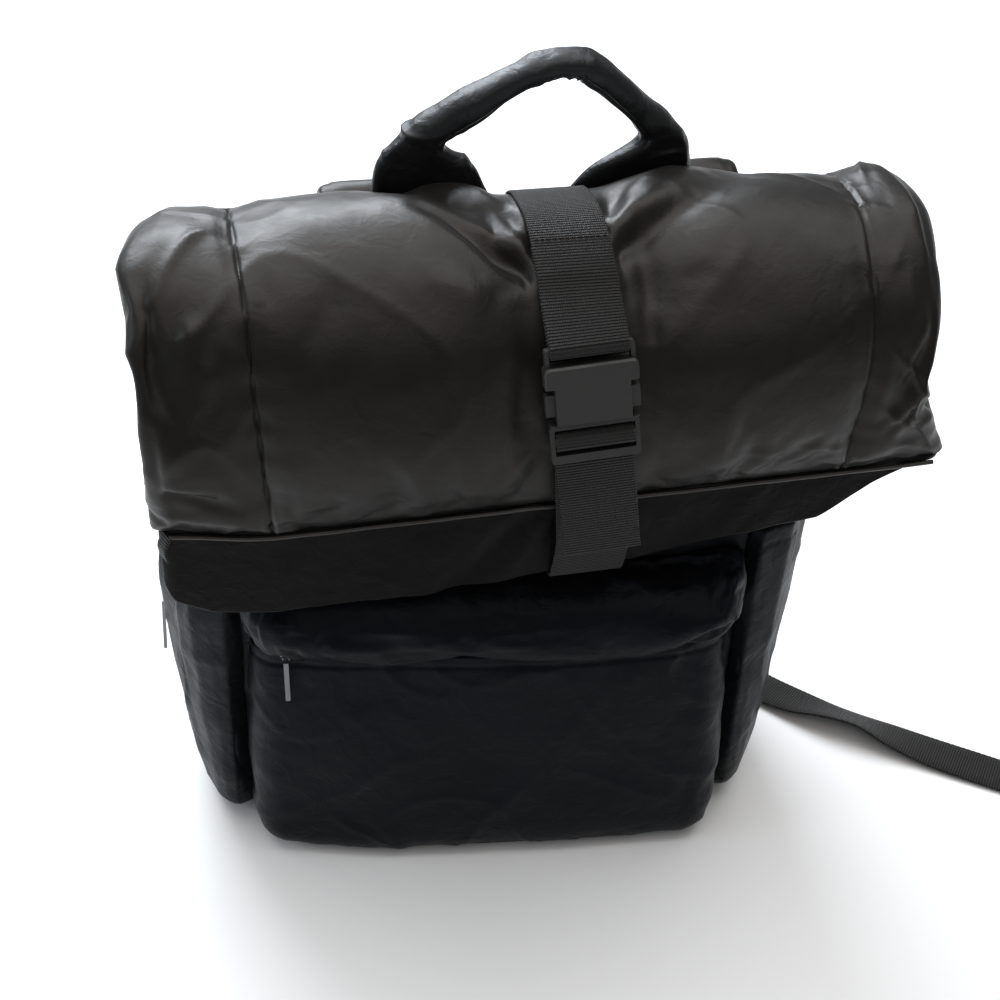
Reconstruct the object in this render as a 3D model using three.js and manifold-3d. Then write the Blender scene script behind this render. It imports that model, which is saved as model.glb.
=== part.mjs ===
// A quilted puffer backpack with a folded-over top, in millimetres.
// +X is to the right in a front view, +Y points to the back panel and +Z is up.
// The origin is on the floor, under the middle of the main body.
import * as THREE from "three";
import Module from "manifold-3d";
import { mergeVertices } from "three/addons/utils/BufferGeometryUtils.js";

const wasm = await Module();
wasm.setup();
const { Manifold, Mesh: SolidMesh } = wasm;

// Main sizes of the bag
const BAG_HEIGHT = 397;
const SPLIT_HEIGHT = 300;
const BODY_DEPTH = 125;
const BODY_WIDTH = 314;
const FLAP_WIDTH = 408;
const END_TUCK = 20;
const SEAM_SPAN = 292;
const BODY_WALL = 6;
const FLAP_WALL = 9;
const SEAT_GAP = 0.3;
const TOP_TWIST = 5;
const TOP_SHIFT = 23;
const HEM_RISE = 8;
const HEM_CURL = 9;

// Relief of the padded flap
const PANEL_PUFF = 5;
const SEAM_GROOVE = 5;
const STRAP_VALLEY = 5;

// Closure webbing and its side-release buckle
const WEB_WIDTH = 38;
const WEB_THICK = 1.6;
const WEB_CLEAR = 0.7;
const BAR_CLEAR = 0.5;
const STRAP_TOP_X = 5;
const STRAP_HEM_X = 16;
const BUCKLE_WIDTH = 45;
const BUCKLE_LENGTH = 58;
const BUCKLE_THICK = 10;
const FRAME_WIDTH = 43;
const FRAME_THICK = 4.4;
const MALE_LENGTH = 19.4;
const TAIL_DROP = 57;
const TAIL_LEAN = -2;
const TAIL_SLANT = 7;

// Mouth band under the hem, and the piping between them
const BAND_DROP = 60;
const BAND_WALL = 2.5;
const BAND_STEP = 3.2;
const PIPING_RADIUS = 1.3;

// Front pocket, with the padded roll over its zip
const POCKET_WIDTH = 266;
const POCKET_TOP = 155;
const POCKET_FRONT = 84;
const POCKET_BULGE = 6;
const POCKET_WALL = 5;
const POCKET_FOOT = 1;
const ROLL_HEIGHT = 48;
const ROLL_FRONT = 93;
const ZIP_SLIT = 4;

// Side pockets
const SIDE_HEIGHT = 222;
const LEFT_SIDE_HEIGHT = 196;
const SIDE_FOOT = 3;
const SIDE_STAND_OFF = 13;
const LEFT_STAND_OFF = 19;
const SIDE_WALL = 2.5;
const GATHER_DEPTH = 2;

// Grab handle
const HANDLE_SPAN = 158;
const HANDLE_RISE = 68;
const HANDLE_TUBE = 18;
const HANDLE_FOOT = 374;
const HANDLE_BACK = 18;

// Shoulder straps and their webbing
const SHOULDER_SPACING = 158;
const SHOULDER_WIDTH = 60;
const SHOULDER_THICK = 10;
const STRAP_PUSH = 6;
const TAPE_WIDTH = 25;
const TAPE_THICK = 1.6;
const ADJUSTER_WIDTH = 33;
const ADJUSTER_HEIGHT = 27;
const ADJUSTER_THICK = 4;
const TAB_LENGTH = 12;
const ADJUSTER_OUT = 92.5;
const ADJUSTER_BACK = 84.4;
const ADJUSTER_TOP = 110;
const ANCHOR_OUT = 118;
const ANCHOR_BACK = 66;
const ANCHOR_HEIGHT = 26;
const TAIL_REACH = 346;

// Zip pulls
const PULL_LENGTH = 28;
const PULL_WIDTH = 2.6;
const PULL_THICK = 1.8;

// Cross-sections of the body, from the floor up to the split.
// z is a share of SPLIT_HEIGHT, front and back of BODY_DEPTH, half of BODY_WIDTH / 2,
// corner and belly of BODY_DEPTH. settled is the share of the top's twist and shift.
const BODY_ROWS = [
  { z: 0, front: -0.38, back: 0.42, half: 0.85, corner: 0.2, belly: 0, settled: 0 },
  { z: 0.02, front: -0.43, back: 0.475, half: 0.895, corner: 0.22, belly: 0.01, settled: 0 },
  { z: 0.06, front: -0.455, back: 0.505, half: 0.925, corner: 0.22, belly: 0.02, settled: 0 },
  { z: 0.17, front: -0.46, back: 0.52, half: 0.94, corner: 0.22, belly: 0.03, settled: 0 },
  { z: 0.34, front: -0.455, back: 0.528, half: 0.955, corner: 0.22, belly: 0.04, settled: 0 },
  { z: 0.54, front: -0.45, back: 0.528, half: 0.98, corner: 0.22, belly: 0.05, settled: 0 },
  { z: 0.72, front: -0.44, back: 0.505, half: 1.0, corner: 0.22, belly: 0.05, settled: 0.05 },
  { z: 0.87, front: -0.425, back: 0.46, half: 1.03, corner: 0.2, belly: 0.05, settled: 0.4 },
  { z: 1, front: -0.408, back: 0.405, half: 1.07, corner: 0.18, belly: 0.04, settled: 0.7 },
];

// Cross-sections of the folded top, from the split over the crest and down to the hem.
// frontUp and backUp are shares of the height above the split, front and back of BODY_DEPTH.
// spread goes from the body's width to the flap's, tuck is how far the ends fold in,
// and pinch is the share of END_TUCK by which the right end is pushed in.
const TOP_ROWS = [
  { front: -0.408, frontUp: 0, back: 0.405, backUp: 0, spread: 0.22, corner: 0.18, tuck: -0.04, pinch: 0 },
  { front: -0.4, frontUp: 0.31, back: 0.32, backUp: 0.35, spread: 0.42, corner: 0.17, tuck: -0.01,
    pinch: 0.1 },
  { front: -0.405, frontUp: 0.46, back: 0.24, backUp: 0.62, spread: 0.64, corner: 0.16, tuck: 0.02,
    pinch: 0.3 },
  { front: -0.42, frontUp: 0.54, back: 0.14, backUp: 0.86, spread: 0.82, corner: 0.15, tuck: 0.04,
    pinch: 0.5 },
  { front: -0.44, frontUp: 0.577, back: -0.05, backUp: 0.98, spread: 0.93, corner: 0.14, tuck: 0.06,
    pinch: 0.75 },
  { front: -0.464, frontUp: 0.577, back: -0.27, backUp: 1, spread: 0.99, corner: 0.13, tuck: 0.06,
    pinch: 0.9 },
  { front: -0.488, frontUp: 0.546, back: -0.5, backUp: 0.88, spread: 1, corner: 0.12, tuck: 0.06,
    pinch: 1 },
  { front: -0.504, frontUp: 0.474, back: -0.66, backUp: 0.65, spread: 1, corner: 0.12, tuck: 0.06,
    pinch: 1 },
  { front: -0.52, frontUp: 0.35, back: -0.745, backUp: 0.37, spread: 0.99, corner: 0.12, tuck: 0.06,
    pinch: 1 },
  { front: -0.528, frontUp: 0.165, back: -0.77, backUp: 0.124, spread: 0.98, corner: 0.12, tuck: 0.06,
    pinch: 0.9 },
  { front: -0.536, frontUp: -0.04, back: -0.752, backUp: -0.1, spread: 0.97, corner: 0.11, tuck: 0.05,
    pinch: 0.5 },
  { front: -0.544, frontUp: -0.26, back: -0.704, backUp: -0.3, spread: 0.96, corner: 0.08, tuck: 0.03,
    pinch: 0.1 },
];
const LAST_TOP_ROW = TOP_ROWS.length - 1;
const CREST_ROW = 3;
const SHOULDER_ROW = 6;

// Folds and dents of the flap's face. row is a place in TOP_ROWS, x a share of SEAM_SPAN / 2,
// turn the angle of the fold in degrees, long and wide in shares of SEAM_SPAN, deep in PANEL_PUFF.
const FLAP_FOLDS = [
  { row: 4.6, x: -0.25, turn: 38, long: 0.17, wide: 0.04, deep: -1.3 },
  { row: 4.0, x: -0.2, turn: 35, long: 0.15, wide: 0.05, deep: 0.9 },
  { row: 5.0, x: 0.42, turn: -35, long: 0.2, wide: 0.045, deep: -1.3 },
  { row: 4.2, x: 0.36, turn: -30, long: 0.16, wide: 0.05, deep: 0.9 },
  { row: 6.6, x: 0.45, turn: -10, long: 0.2, wide: 0.05, deep: -0.7 },
  { row: 8.2, x: 0.5, turn: 12, long: 0.2, wide: 0.05, deep: -0.5 },
  { row: 9.6, x: -1.2, turn: 0, long: 0.12, wide: 0.04, deep: -1.2 },
  { row: 7.6, x: -1.22, turn: 55, long: 0.15, wide: 0.05, deep: -0.8 },
  { row: 8.2, x: 1.22, turn: -50, long: 0.15, wide: 0.05, deep: -1 },
  { row: 9.8, x: 1.25, turn: 25, long: 0.12, wide: 0.05, deep: -0.8 },
];

// Materials of the real bag, by kind
const cloth = (colour, roughness) =>
  new THREE.MeshStandardMaterial({ color: colour, roughness, metalness: 0 });
const MATERIALS = {
  puffer: cloth(0x1c1b1b, 0.45),
  lowerPuffer: cloth(0x15161a, 0.55),
  webbing: cloth(0x1d1a18, 0.85),
  plastic: cloth(0x272725, 0.5),
  metal: new THREE.MeshStandardMaterial({ color: 0x6b6c70, roughness: 0.35, metalness: 0.8 }),
};

// Small helpers
const vec = (x, y, z) => new THREE.Vector3(x, y, z);
const mix = (a, b, t) => a + (b - a) * t;
const clamp = (v, low, high) => Math.min(high, Math.max(low, v));
const smooth = (t) => {
  const s = clamp(t, 0, 1);
  return s * s * (3 - 2 * s);
};
const bump = (t) => Math.exp(-t * t);
const radians = THREE.MathUtils.degToRad;
const spaced = (from, to, steps) =>
  Array.from({ length: steps }, (_, i) => mix(from, to, (i + 1) / (steps + 1)));
const steps = (from, to, count) =>
  Array.from({ length: count + 1 }, (_, i) => mix(from, to, i / count));

// Catmull-Rom value of each column of a table at a place between its rows.
function rowAt(rows, place) {
  const t = clamp(place, 0, rows.length - 1);
  const i = Math.min(Math.floor(t), rows.length - 2);
  const s = t - i;
  const pick = (k) => rows[clamp(k, 0, rows.length - 1)];
  const made = {};
  for (const name of Object.keys(rows[0])) {
    const [a, b, c, d] = [pick(i - 1)[name], pick(i)[name], pick(i + 1)[name], pick(i + 2)[name]];
    made[name] =
      0.5 * (2 * b + (c - a) * s + (2 * a - 5 * b + 4 * c - d) * s * s + (3 * b - a - 3 * c + d) * s ** 3);
  }
  return made;
}

// The slumped top is turned about the upright axis and pushed to one side.
function settle(point, share) {
  return point.applyAxisAngle(vec(0, 0, 1), radians(TOP_TWIST * share)).add(vec(TOP_SHIFT * share, 0, 0));
}

// A closed solid through rings of points. Caps are a fan to the middle or a strip across a thin band.
function loft(rings, { loop = false, caps = "fan" } = {}) {
  const count = rings[0].length;
  const points = rings.flat();
  const index = [];
  const last = loop ? rings.length : rings.length - 1;
  for (let r = 0; r < last; r++) {
    const a = r * count;
    const b = ((r + 1) % rings.length) * count;
    for (let i = 0; i < count; i++) {
      const j = (i + 1) % count;
      index.push(a + i, a + j, b + j, a + i, b + j, b + i);
    }
  }
  if (!loop) {
    for (const [start, flip] of [[0, true], [(rings.length - 1) * count, false]]) {
      const face = (p, q, r) => index.push(p, flip ? r : q, flip ? q : r);
      if (caps === "fan") {
        const middle = vec(0, 0, 0);
        for (let i = 0; i < count; i++) middle.add(points[start + i]);
        points.push(middle.divideScalar(count));
        for (let i = 0; i < count; i++) face(start + i, start + ((i + 1) % count), points.length - 1);
      } else {
        for (let i = 0; i < count / 2 - 1; i++) {
          const [a, b, c, d] = [start + i, start + i + 1, start + count - 2 - i, start + count - 1 - i];
          face(a, b, c);
          face(a, c, d);
        }
      }
    }
  }
  return shaped(points, index);
}

// A geometry of points and triangles whose faces point out.
function shaped(points, index) {
  let volume = 0;
  for (let i = 0; i < index.length; i += 3) {
    const [a, b, c] = [points[index[i]], points[index[i + 1]], points[index[i + 2]]];
    volume += a.dot(b.clone().cross(c));
  }
  const turned = volume < 0 ? [...index].reverse() : index;
  const geometry = new THREE.BufferGeometry().setFromPoints(points);
  geometry.setIndex(turned);
  geometry.computeVertexNormals();
  return geometry;
}

// A solid of a geometry, for a boolean join or cut, and back.
function toSolid(geometry) {
  const bare = geometry.clone();
  bare.deleteAttribute("normal");
  bare.deleteAttribute("uv");
  const merged = mergeVertices(bare, 1e-4);
  return new Manifold(
    new SolidMesh({
      numProp: 3,
      vertProperties: merged.attributes.position.array,
      triVerts: new Uint32Array(merged.index.array),
    }),
  );
}
function toGeometry(solid) {
  const made = solid.getMesh();
  const geometry = new THREE.BufferGeometry();
  geometry.setAttribute("position", new THREE.BufferAttribute(made.vertProperties, 3));
  geometry.setIndex(new THREE.BufferAttribute(made.triVerts, 1));
  return geometry;
}

// A flat strip along stations, each with its middle, its sideways direction and its width
function ribbon(stations, thick) {
  return loft(
    stations.map(({ at, side, width }, i) => {
      const next = stations[Math.min(i + 1, stations.length - 1)].at;
      const before = stations[Math.max(i - 1, 0)].at;
      const normal = next.clone().sub(before).cross(side).normalize();
      return [[1, 1], [-1, 1], [-1, -1], [1, -1]].map(([s, n]) =>
        at
          .clone()
          .addScaledVector(side, (s * width) / 2)
          .addScaledVector(normal, (n * thick) / 2),
      );
    }),
  );
}

// A round tube through points, with ends closed.
function tube(points, radius, sides) {
  return loft(
    points.map((p, i) => {
      const along = points[Math.min(i + 1, points.length - 1)].clone().sub(points[Math.max(i - 1,
        0)]).normalize();
      const side = vec(0, 0, 1).cross(along).normalize();
      const up = along.clone().cross(side);
      return Array.from({ length: sides }, (_, k) => {
        const angle = (2 * Math.PI * k) / sides;
        return p
          .clone()
          .addScaledVector(side, radius * Math.cos(angle))
          .addScaledVector(up, radius * Math.sin(angle));
      });
    }),
  );
}

// Section of the body at a height share, in lengths
function bodySection(place) {
  const row = rowAt(BODY_ROWS, place);
  return {
    front: vec(0, row.front * BODY_DEPTH, row.z * SPLIT_HEIGHT),
    back: vec(0, row.back * BODY_DEPTH, row.z * SPLIT_HEIGHT),
    half: (row.half * BODY_WIDTH) / 2,
    corner: row.corner * BODY_DEPTH,
    tuck: -row.belly * BODY_DEPTH,
    seam: (row.half * BODY_WIDTH) / 2 - row.corner * BODY_DEPTH,
    strapX: 0,
    puff: 0,
    settled: row.settled,
    drop: 0,
    pinch: 0,
    place: 0,
  };
}

// Section of the folded top at a place in its table, in lengths
function topSection(place) {
  const row = rowAt(TOP_ROWS, place);
  const rise = BAG_HEIGHT - SPLIT_HEIGHT;
  const foot = SPLIT_HEIGHT + SEAT_GAP;
  const half = mix(BODY_WIDTH / 2, FLAP_WIDTH / 2, row.spread);
  const corner = row.corner * BODY_DEPTH;
  return {
    front: vec(0, row.front * BODY_DEPTH, foot + row.frontUp * rise),
    back: vec(0, row.back * BODY_DEPTH, foot + row.backUp * rise),
    half,
    corner,
    tuck: row.tuck * BODY_DEPTH,
    seam: Math.min((SEAM_SPAN / 2) * mix(1.04, 0.98, place / LAST_TOP_ROW), half - corner - 6),
    strapX: mix(STRAP_TOP_X, STRAP_HEM_X, Math.max(0,
      (place - CREST_ROW) / (LAST_TOP_ROW - CREST_ROW)) ** 2),
    puff: smooth(place / CREST_ROW) * (1 - smooth(place - LAST_TOP_ROW + 1)),
    settled: mix(BODY_ROWS.at(-1).settled, 1, smooth(place / CREST_ROW)),
    drop: smooth((place - SHOULDER_ROW) / (LAST_TOP_ROW - SHOULDER_ROW)),
    pinch: row.pinch,
    place,
  };
}

// Height of the padded face over its flat panel: pillows, seam grooves, strap valley and folds
function relief(x, section) {
  const { seam, half, strapX, puff, place } = section;
  const side = Math.abs(x);
  const pillow =
    side < seam
      ? PANEL_PUFF * (1 - (x / seam) ** 4)
      : 0.7 * PANEL_PUFF * Math.sin(Math.PI * clamp((side - seam) / (half - seam), 0, 1));
  const groove = SEAM_GROOVE * bump((side - seam) / 4);
  const valley = STRAP_VALLEY * (1 - smooth((Math.abs(x - strapX) - 26) / 40));
  let height = pillow - 0.6 * groove - valley;
  for (const fold of FLAP_FOLDS) {
    const dx = x - (fold.x * SEAM_SPAN) / 2;
    const dy = ((place - fold.row) * (BAG_HEIGHT - SPLIT_HEIGHT)) / 4.6;
    const c = Math.cos(radians(fold.turn));
    const s = Math.sin(radians(fold.turn));
    const along = (dx * c + dy * s) / (fold.long * SEAM_SPAN);
    const across = (dy * c - dx * s) / (fold.wide * SEAM_SPAN);
    const clearOfStrap = smooth((Math.abs(x - strapX) - 24) / 12);
    height += fold.deep * PANEL_PUFF * bump(along) * bump(across) * clearOfStrap;
  }
  return height * puff;
}

// Places across the back edge, closest at the strap and the seams
function backPlaces({ strapX, seam }, edge) {
  const strap = [-24, -12, 0, 12, 24].map((d) => strapX + d);
  const right = [...spaced(strapX + 24, seam - 5, 3), seam - 5, seam, seam + 5, ...spaced(seam + 5,
    edge, 2), edge];
  const left = [...spaced(strapX - 24, 5 - seam, 3), 5 - seam, -seam, -seam - 5, ...spaced(-seam - 5,
    -edge, 2), -edge];
  return [...left.reverse(), ...strap, ...right];
}

// The hem rises to the right and curls up at its left end
const hemLift = (share) => HEM_RISE * share + HEM_CURL * smooth((-share - 0.68) / 0.32);

// One closed ring round a section, inset evenly for the cavity, or grown for a cutting body
const FRONT_STEPS = 6;
const CORNER_STEPS = 3;
function ring(section, inset = 0) {
  const { front, back, half, corner, tuck, seam, settled, drop, pinch } = section;
  const depth = front.distanceTo(back);
  const h = depth / 2 - inset;
  const w = half - inset;
  const r = Math.min(0.9 * h, Math.max(corner - inset, 2));
  const edge = w - r;
  const narrowed = { ...section, seam: Math.min(seam, edge - 7) };
  const flat = [];
  for (const x of backPlaces(narrowed, edge)) flat.push([x, h + (inset > 0 ? 0 : relief(x, narrowed))]);
  const turnCorner = (sx, from, to) => {
    for (const angle of spaced(from, to, CORNER_STEPS)) {
      const a = radians(angle);
      flat.push([sx * (edge + r * Math.cos(a)), Math.sign(Math.sin(a)) * (h - r) + r * Math.sin(a)]);
    }
  };
  const sideAt = (sx, v) => [sx * (w - tuck * (1 - (v / h) ** 2)), v];
  turnCorner(1, 90, 0);
  flat.push(sideAt(1, (h - r) * 0.6), sideAt(1, -(h - r) * 0.6));
  turnCorner(1, 0, -90);
  for (const x of steps(edge, -edge, FRONT_STEPS)) flat.push([x, -h]);
  turnCorner(-1, -90, 0);
  flat.push(sideAt(-1, -(h - r) * 0.6), sideAt(-1, (h - r) * 0.6));
  turnCorner(-1, 0, 90);
  const middle = front.clone().add(back).multiplyScalar(0.5);
  const outward = back.clone().sub(front).normalize();
  return flat.map(([x, v]) => {
    const p = middle.clone().addScaledVector(outward, v);
    p.x = x - END_TUCK * pinch * smooth((x / half - 0.72) / 0.28);
    p.z += hemLift(x / half) * drop;
    return settle(p, settled);
  });
}

// The body: a padded pouch with its top open
const BODY_PLACES = [0, 1, 2, 3, 4, 5, 6, 7, 8];
const CAVITY_PLACES = [1.25, 2, 4, 6, 8];
function bodyShell() {
  const outer = BODY_PLACES.map((place) => ring(bodySection(place)));
  const inner = CAVITY_PLACES.map((place) => ring(bodySection(place), BODY_WALL));
  return loft([...outer, ...inner.reverse()]);
}

// The folded top: a padded tube from the split, over the crest and down to its open mouth
function rollTop() {
  const outer = steps(0, LAST_TOP_ROW, 2 * LAST_TOP_ROW).map((place) => ring(topSection(place)));
  const inner = steps(0, LAST_TOP_ROW, LAST_TOP_ROW).map((place) => ring(topSection(place), FLAP_WALL));
  return loft([...outer, ...inner.reverse()], { loop: true });
}

// Drop of the mouth band below the hem: across is a share of FLAP_WIDTH / 2, drop of BAND_DROP
const BAND_ROWS = [
  { across: -1, drop: 0.45 },
  { across: -0.95, drop: 0.88 },
  { across: -0.86, drop: 1 },
  { across: -0.3, drop: 1 },
  { across: -0.08, drop: 0.9 },
  { across: 0.06, drop: 0.84 },
  { across: 0.2, drop: 0.86 },
  { across: 0.46, drop: 0.7 },
  { across: 0.67, drop: 0.6 },
  { across: 0.8, drop: 0.26 },
  { across: 0.9, drop: 0.08 },
  { across: 1, drop: 0.05 },
];
function bandDrop(x) {
  const across = clamp((2 * x) / FLAP_WIDTH, -1, 1);
  const i = clamp(BAND_ROWS.findIndex((row) => row.across > across), 1, BAND_ROWS.length - 1);
  const [a, b] = [BAND_ROWS[i - 1], BAND_ROWS[i]];
  const share = across >= 1 ? 1 : (across - a.across) / (b.across - a.across);
  return BAND_DROP * mix(a.drop, b.drop, share);
}

// The unpadded band that goes on from the hem and narrows to the mouth
function mouthBand() {
  const hem = topSection(LAST_TOP_ROW);
  const middleY = (hem.front.y + hem.back.y) / 2;
  const rings = (inset) =>
    steps(0, 1, 3).map((share) =>
      ring({ ...hem, settled: 0 }, inset).map((p) => {
        const fall = bandDrop(p.x) * share;
        const narrow = mix(1, 0.45, (fall / BAND_DROP) ** 1.5);
        p.y = middleY + (p.y - middleY) * narrow;
        p.z -= SEAT_GAP + fall;
        return settle(p, hem.settled);
      }),
    );
  return loft([...rings(BAND_STEP), ...rings(BAND_STEP + BAND_WALL).reverse()], { loop: true });
}

// The piping, laid in the step between the hem and the band along the outer face
function hemPiping() {
  const hem = topSection(LAST_TOP_ROW);
  const path = ring({ ...hem, settled: 0 }, BAND_STEP - PIPING_RADIUS - SEAT_GAP)
    .slice(0, backPlaces(hem, hem.half).length)
    .map((p) => settle(p.add(vec(0, 0, -PIPING_RADIUS - 2 * SEAT_GAP)), hem.settled));
  return tube(path, PIPING_RADIUS, 6);
}

// A point on the flap's outer face, its normal and its directions, lifted off the cloth
function onFlap(place, x, lift) {
  const at = (q) => {
    const s = topSection(q);
    const outward = s.back.clone().sub(s.front).normalize();
    const p = s.back.clone().addScaledVector(outward, relief(x, s));
    p.x = x;
    p.z += hemLift(x / s.half) * s.drop;
    return p;
  };
  const along = at(Math.min(place + 0.1, LAST_TOP_ROW)).sub(at(place - 0.1)).normalize();
  const side = vec(1, 0, (HEM_RISE * topSection(place).drop) / topSection(place).half).normalize();
  const normal = side.clone().cross(along).normalize();
  if (normal.dot(topSection(place).back.clone().sub(topSection(place).front)) < 0) normal.negate();
  const share = topSection(place).settled;
  const turn = (v) => v.applyAxisAngle(vec(0, 0, 1), radians(TOP_TWIST * share));
  return {
    at: settle(at(place).addScaledVector(normal, lift), share),
    side: turn(side),
    normal: turn(normal),
    along: turn(along),
  };
}

// The buckle's own frame: u to the right, v up the strap, n out of the flap
const BUCKLE_ROWS = { top: 6.95, bottom: 9.0 };
function buckleFrame() {
  const strapAt = (place) => topSection(place).strapX;
  const top = onFlap(BUCKLE_ROWS.top, strapAt(BUCKLE_ROWS.top), 0).at;
  const bottom = onFlap(BUCKLE_ROWS.bottom, strapAt(BUCKLE_ROWS.bottom), 0).at;
  const v = top.clone().sub(bottom).normalize();
  const side = onFlap(8.3, strapAt(8.3), 0).side;
  const n = side.clone().cross(v).normalize();
  const u = v.clone().cross(n).normalize();
  const middle = top.clone().add(bottom).multiplyScalar(0.5);
  let lift = 0;
  for (const place of steps(BUCKLE_ROWS.top, BUCKLE_ROWS.bottom, 6)) {
    for (const d of [-24, 0, 24]) {
      lift = Math.max(lift, onFlap(place, strapAt(place) + d, 0).at.sub(middle).dot(n));
    }
  }
  const rest = WEB_THICK + 2 * WEB_CLEAR;
  middle.addScaledVector(n, lift + rest);
  return { u, v, n, middle };
}
const BUCKLE = buckleFrame();
const buckleMatrix = new THREE.Matrix4().makeBasis(BUCKLE.u, BUCKLE.v, BUCKLE.n).setPosition(BUCKLE.middle);
const onBuckle = (u, v, n) => vec(u, v, n).applyMatrix4(buckleMatrix);

// Outline of a plate with rounded corners
function roundedPlate(width, height, radius) {
  const shape = new THREE.Shape();
  const [w, h] = [width / 2, height / 2];
  shape.moveTo(-w + radius, -h);
  shape.lineTo(w - radius, -h);
  shape.absarc(w - radius, -h + radius, radius, -Math.PI / 2, 0);
  shape.lineTo(w, h - radius);
  shape.absarc(w - radius, h - radius, radius, 0, Math.PI / 2);
  shape.lineTo(-w + radius, h);
  shape.absarc(-w + radius, h - radius, radius, Math.PI / 2, Math.PI);
  shape.lineTo(-w, -h + radius);
  shape.absarc(-w + radius, -h + radius, radius, Math.PI, 1.5 * Math.PI);
  return shape;
}
function plate(width, height, thick, radius, bevel = 0) {
  const geometry = new THREE.ExtrudeGeometry(roundedPlate(width - 2 * bevel, height - 2 * bevel, radius), {
    depth: thick - 2 * bevel,
    bevelEnabled: bevel > 0,
    bevelSize: bevel,
    bevelThickness: bevel,
    bevelSegments: 1,
    curveSegments: 3,
  });
  return geometry.translate(0, 0, bevel);
}
const box = (w, h, d, x, y, z) => toSolid(new THREE.BoxGeometry(w, h, d).translate(x, y, z));

// Places along the buckle, measured up from its middle
const FEMALE_FOOT = MALE_LENGTH - BUCKLE_LENGTH / 2 + SEAT_GAP;
const MALE_TOP = FEMALE_FOOT - SEAT_GAP;
const FRAME_SLOT = 5.4;
const FRAME_BAR = 3;
const FEMALE_SHOULDER = BUCKLE_LENGTH / 2 - FRAME_BAR - FRAME_SLOT;
const SOCKET = { width: 38, depth: 5.4, wall: 2.4 };
const TOP_RAIL = 2.2;
const UPPER_SLOT = 4;
const MIDDLE_BAR = 4;
const LOWER_BAR = 4.2;
const SLOT_WIDTH = WEB_WIDTH + 0.8;

// The receiving half: a flat socket with a webbing frame on top and a window in each side
function buckleFemale() {
  const bodyHeight = FEMALE_SHOULDER - FEMALE_FOOT;
  const bodyMiddle = (FEMALE_SHOULDER + FEMALE_FOOT) / 2;
  const middle = BUCKLE_THICK / 2;
  const frameHeight = BUCKLE_LENGTH / 2 - FEMALE_SHOULDER + 3;
  const frameMiddle = BUCKLE_LENGTH / 2 - frameHeight / 2;
  const slotMiddle = BUCKLE_LENGTH / 2 - FRAME_BAR - FRAME_SLOT / 2;
  const body = plate(BUCKLE_WIDTH, bodyHeight, BUCKLE_THICK, 2, 1).translate(0, bodyMiddle, 0);
  const frame = plate(FRAME_WIDTH, frameHeight, FRAME_THICK, 1.5).translate(0, frameMiddle,
    middle - FRAME_THICK / 2);
  const windowFoot = FEMALE_FOOT + 1;
  const windowHeight = bodyHeight * 0.62;
  let solid = toSolid(body)
    .add(toSolid(frame))
    .subtract(box(SLOT_WIDTH, FRAME_SLOT, 4 * FRAME_THICK, 0, slotMiddle, middle))
    .subtract(box(SOCKET.width, bodyHeight, SOCKET.depth, 0, bodyMiddle - SOCKET.wall, middle));
  for (const s of [-1, 1]) {
    const x = s * (BUCKLE_WIDTH / 2);
    solid = solid.subtract(box(9, windowHeight, BUCKLE_THICK + 2, x, windowFoot + windowHeight / 2,
      middle));
  }
  return toGeometry(solid).applyMatrix4(buckleMatrix);
}

// The inserted half: a ladder frame for the webbing, with a tongue and two sprung arms
function buckleMale() {
  const foot = -BUCKLE_LENGTH / 2;
  const middle = BUCKLE_THICK / 2;
  const upperSlot = MALE_TOP - TOP_RAIL - UPPER_SLOT / 2;
  const lowerSlotTop = MALE_TOP - TOP_RAIL - UPPER_SLOT - MIDDLE_BAR;
  const lowerSlotFoot = foot + LOWER_BAR;
  const lowerSlot = (lowerSlotTop + lowerSlotFoot) / 2;
  const armTop = FEMALE_SHOULDER - SOCKET.wall - 3;
  const armHeight = armTop - MALE_TOP + 1;
  const armMiddle = MALE_TOP - 1 + armHeight / 2;
  const tongueDepth = SOCKET.depth - 4 * SEAT_GAP;
  const frame = plate(FRAME_WIDTH, MALE_TOP - foot, FRAME_THICK, 1.6).translate(
    0,
    (foot + MALE_TOP) / 2,
    middle - FRAME_THICK / 2,
  );
  let solid = toSolid(frame)
    .subtract(box(SLOT_WIDTH, UPPER_SLOT, 4 * FRAME_THICK, 0, upperSlot, middle))
    .subtract(box(SLOT_WIDTH, lowerSlotTop - lowerSlotFoot, 4 * FRAME_THICK, 0, lowerSlot, middle))
    .add(box(8, armHeight, tongueDepth, 0, armMiddle, middle));
  for (const s of [-1, 1]) {
    const armX = s * (SOCKET.width / 2 - 2.6);
    const catchX = s * (BUCKLE_WIDTH / 2 - 2.3);
    solid = solid
      .add(box(3.6, armHeight, tongueDepth, armX, armMiddle, middle))
      .add(box(5, armHeight * 0.42, tongueDepth + 0.6, catchX, MALE_TOP + armHeight * 0.42, middle));
  }
  return toGeometry(solid).applyMatrix4(buckleMatrix);
}

// Stations of the closure webbing: on the buckle's frame, on the flap, and hanging free
const onFrame = (v, n) => ({ at: onBuckle(0, v, n), side: BUCKLE.u, width: WEB_WIDTH });
const onFlapStrap = (place, lift) => {
  const { at, side } = onFlap(place, topSection(place).strapX, lift);
  return { at, side, width: WEB_WIDTH };
};
// Path round a rectangular bar: along its front, round one end and back behind it, as [v, n] pairs
function roundBar(halfV, halfN, thick, toward) {
  const r = thick / 2 + BAR_CLEAR;
  const c = r * Math.SQRT1_2;
  return [
    [0, halfN + r],
    [halfV, halfN + r],
    [halfV + c, halfN + c],
    [halfV + r, halfN],
    [halfV + r, -halfN],
    [halfV + c, -halfN - c],
    [halfV, -halfN - r],
    [0, -halfN - r],
  ].map(([v, n]) => [v * toward, n]);
}

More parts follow.
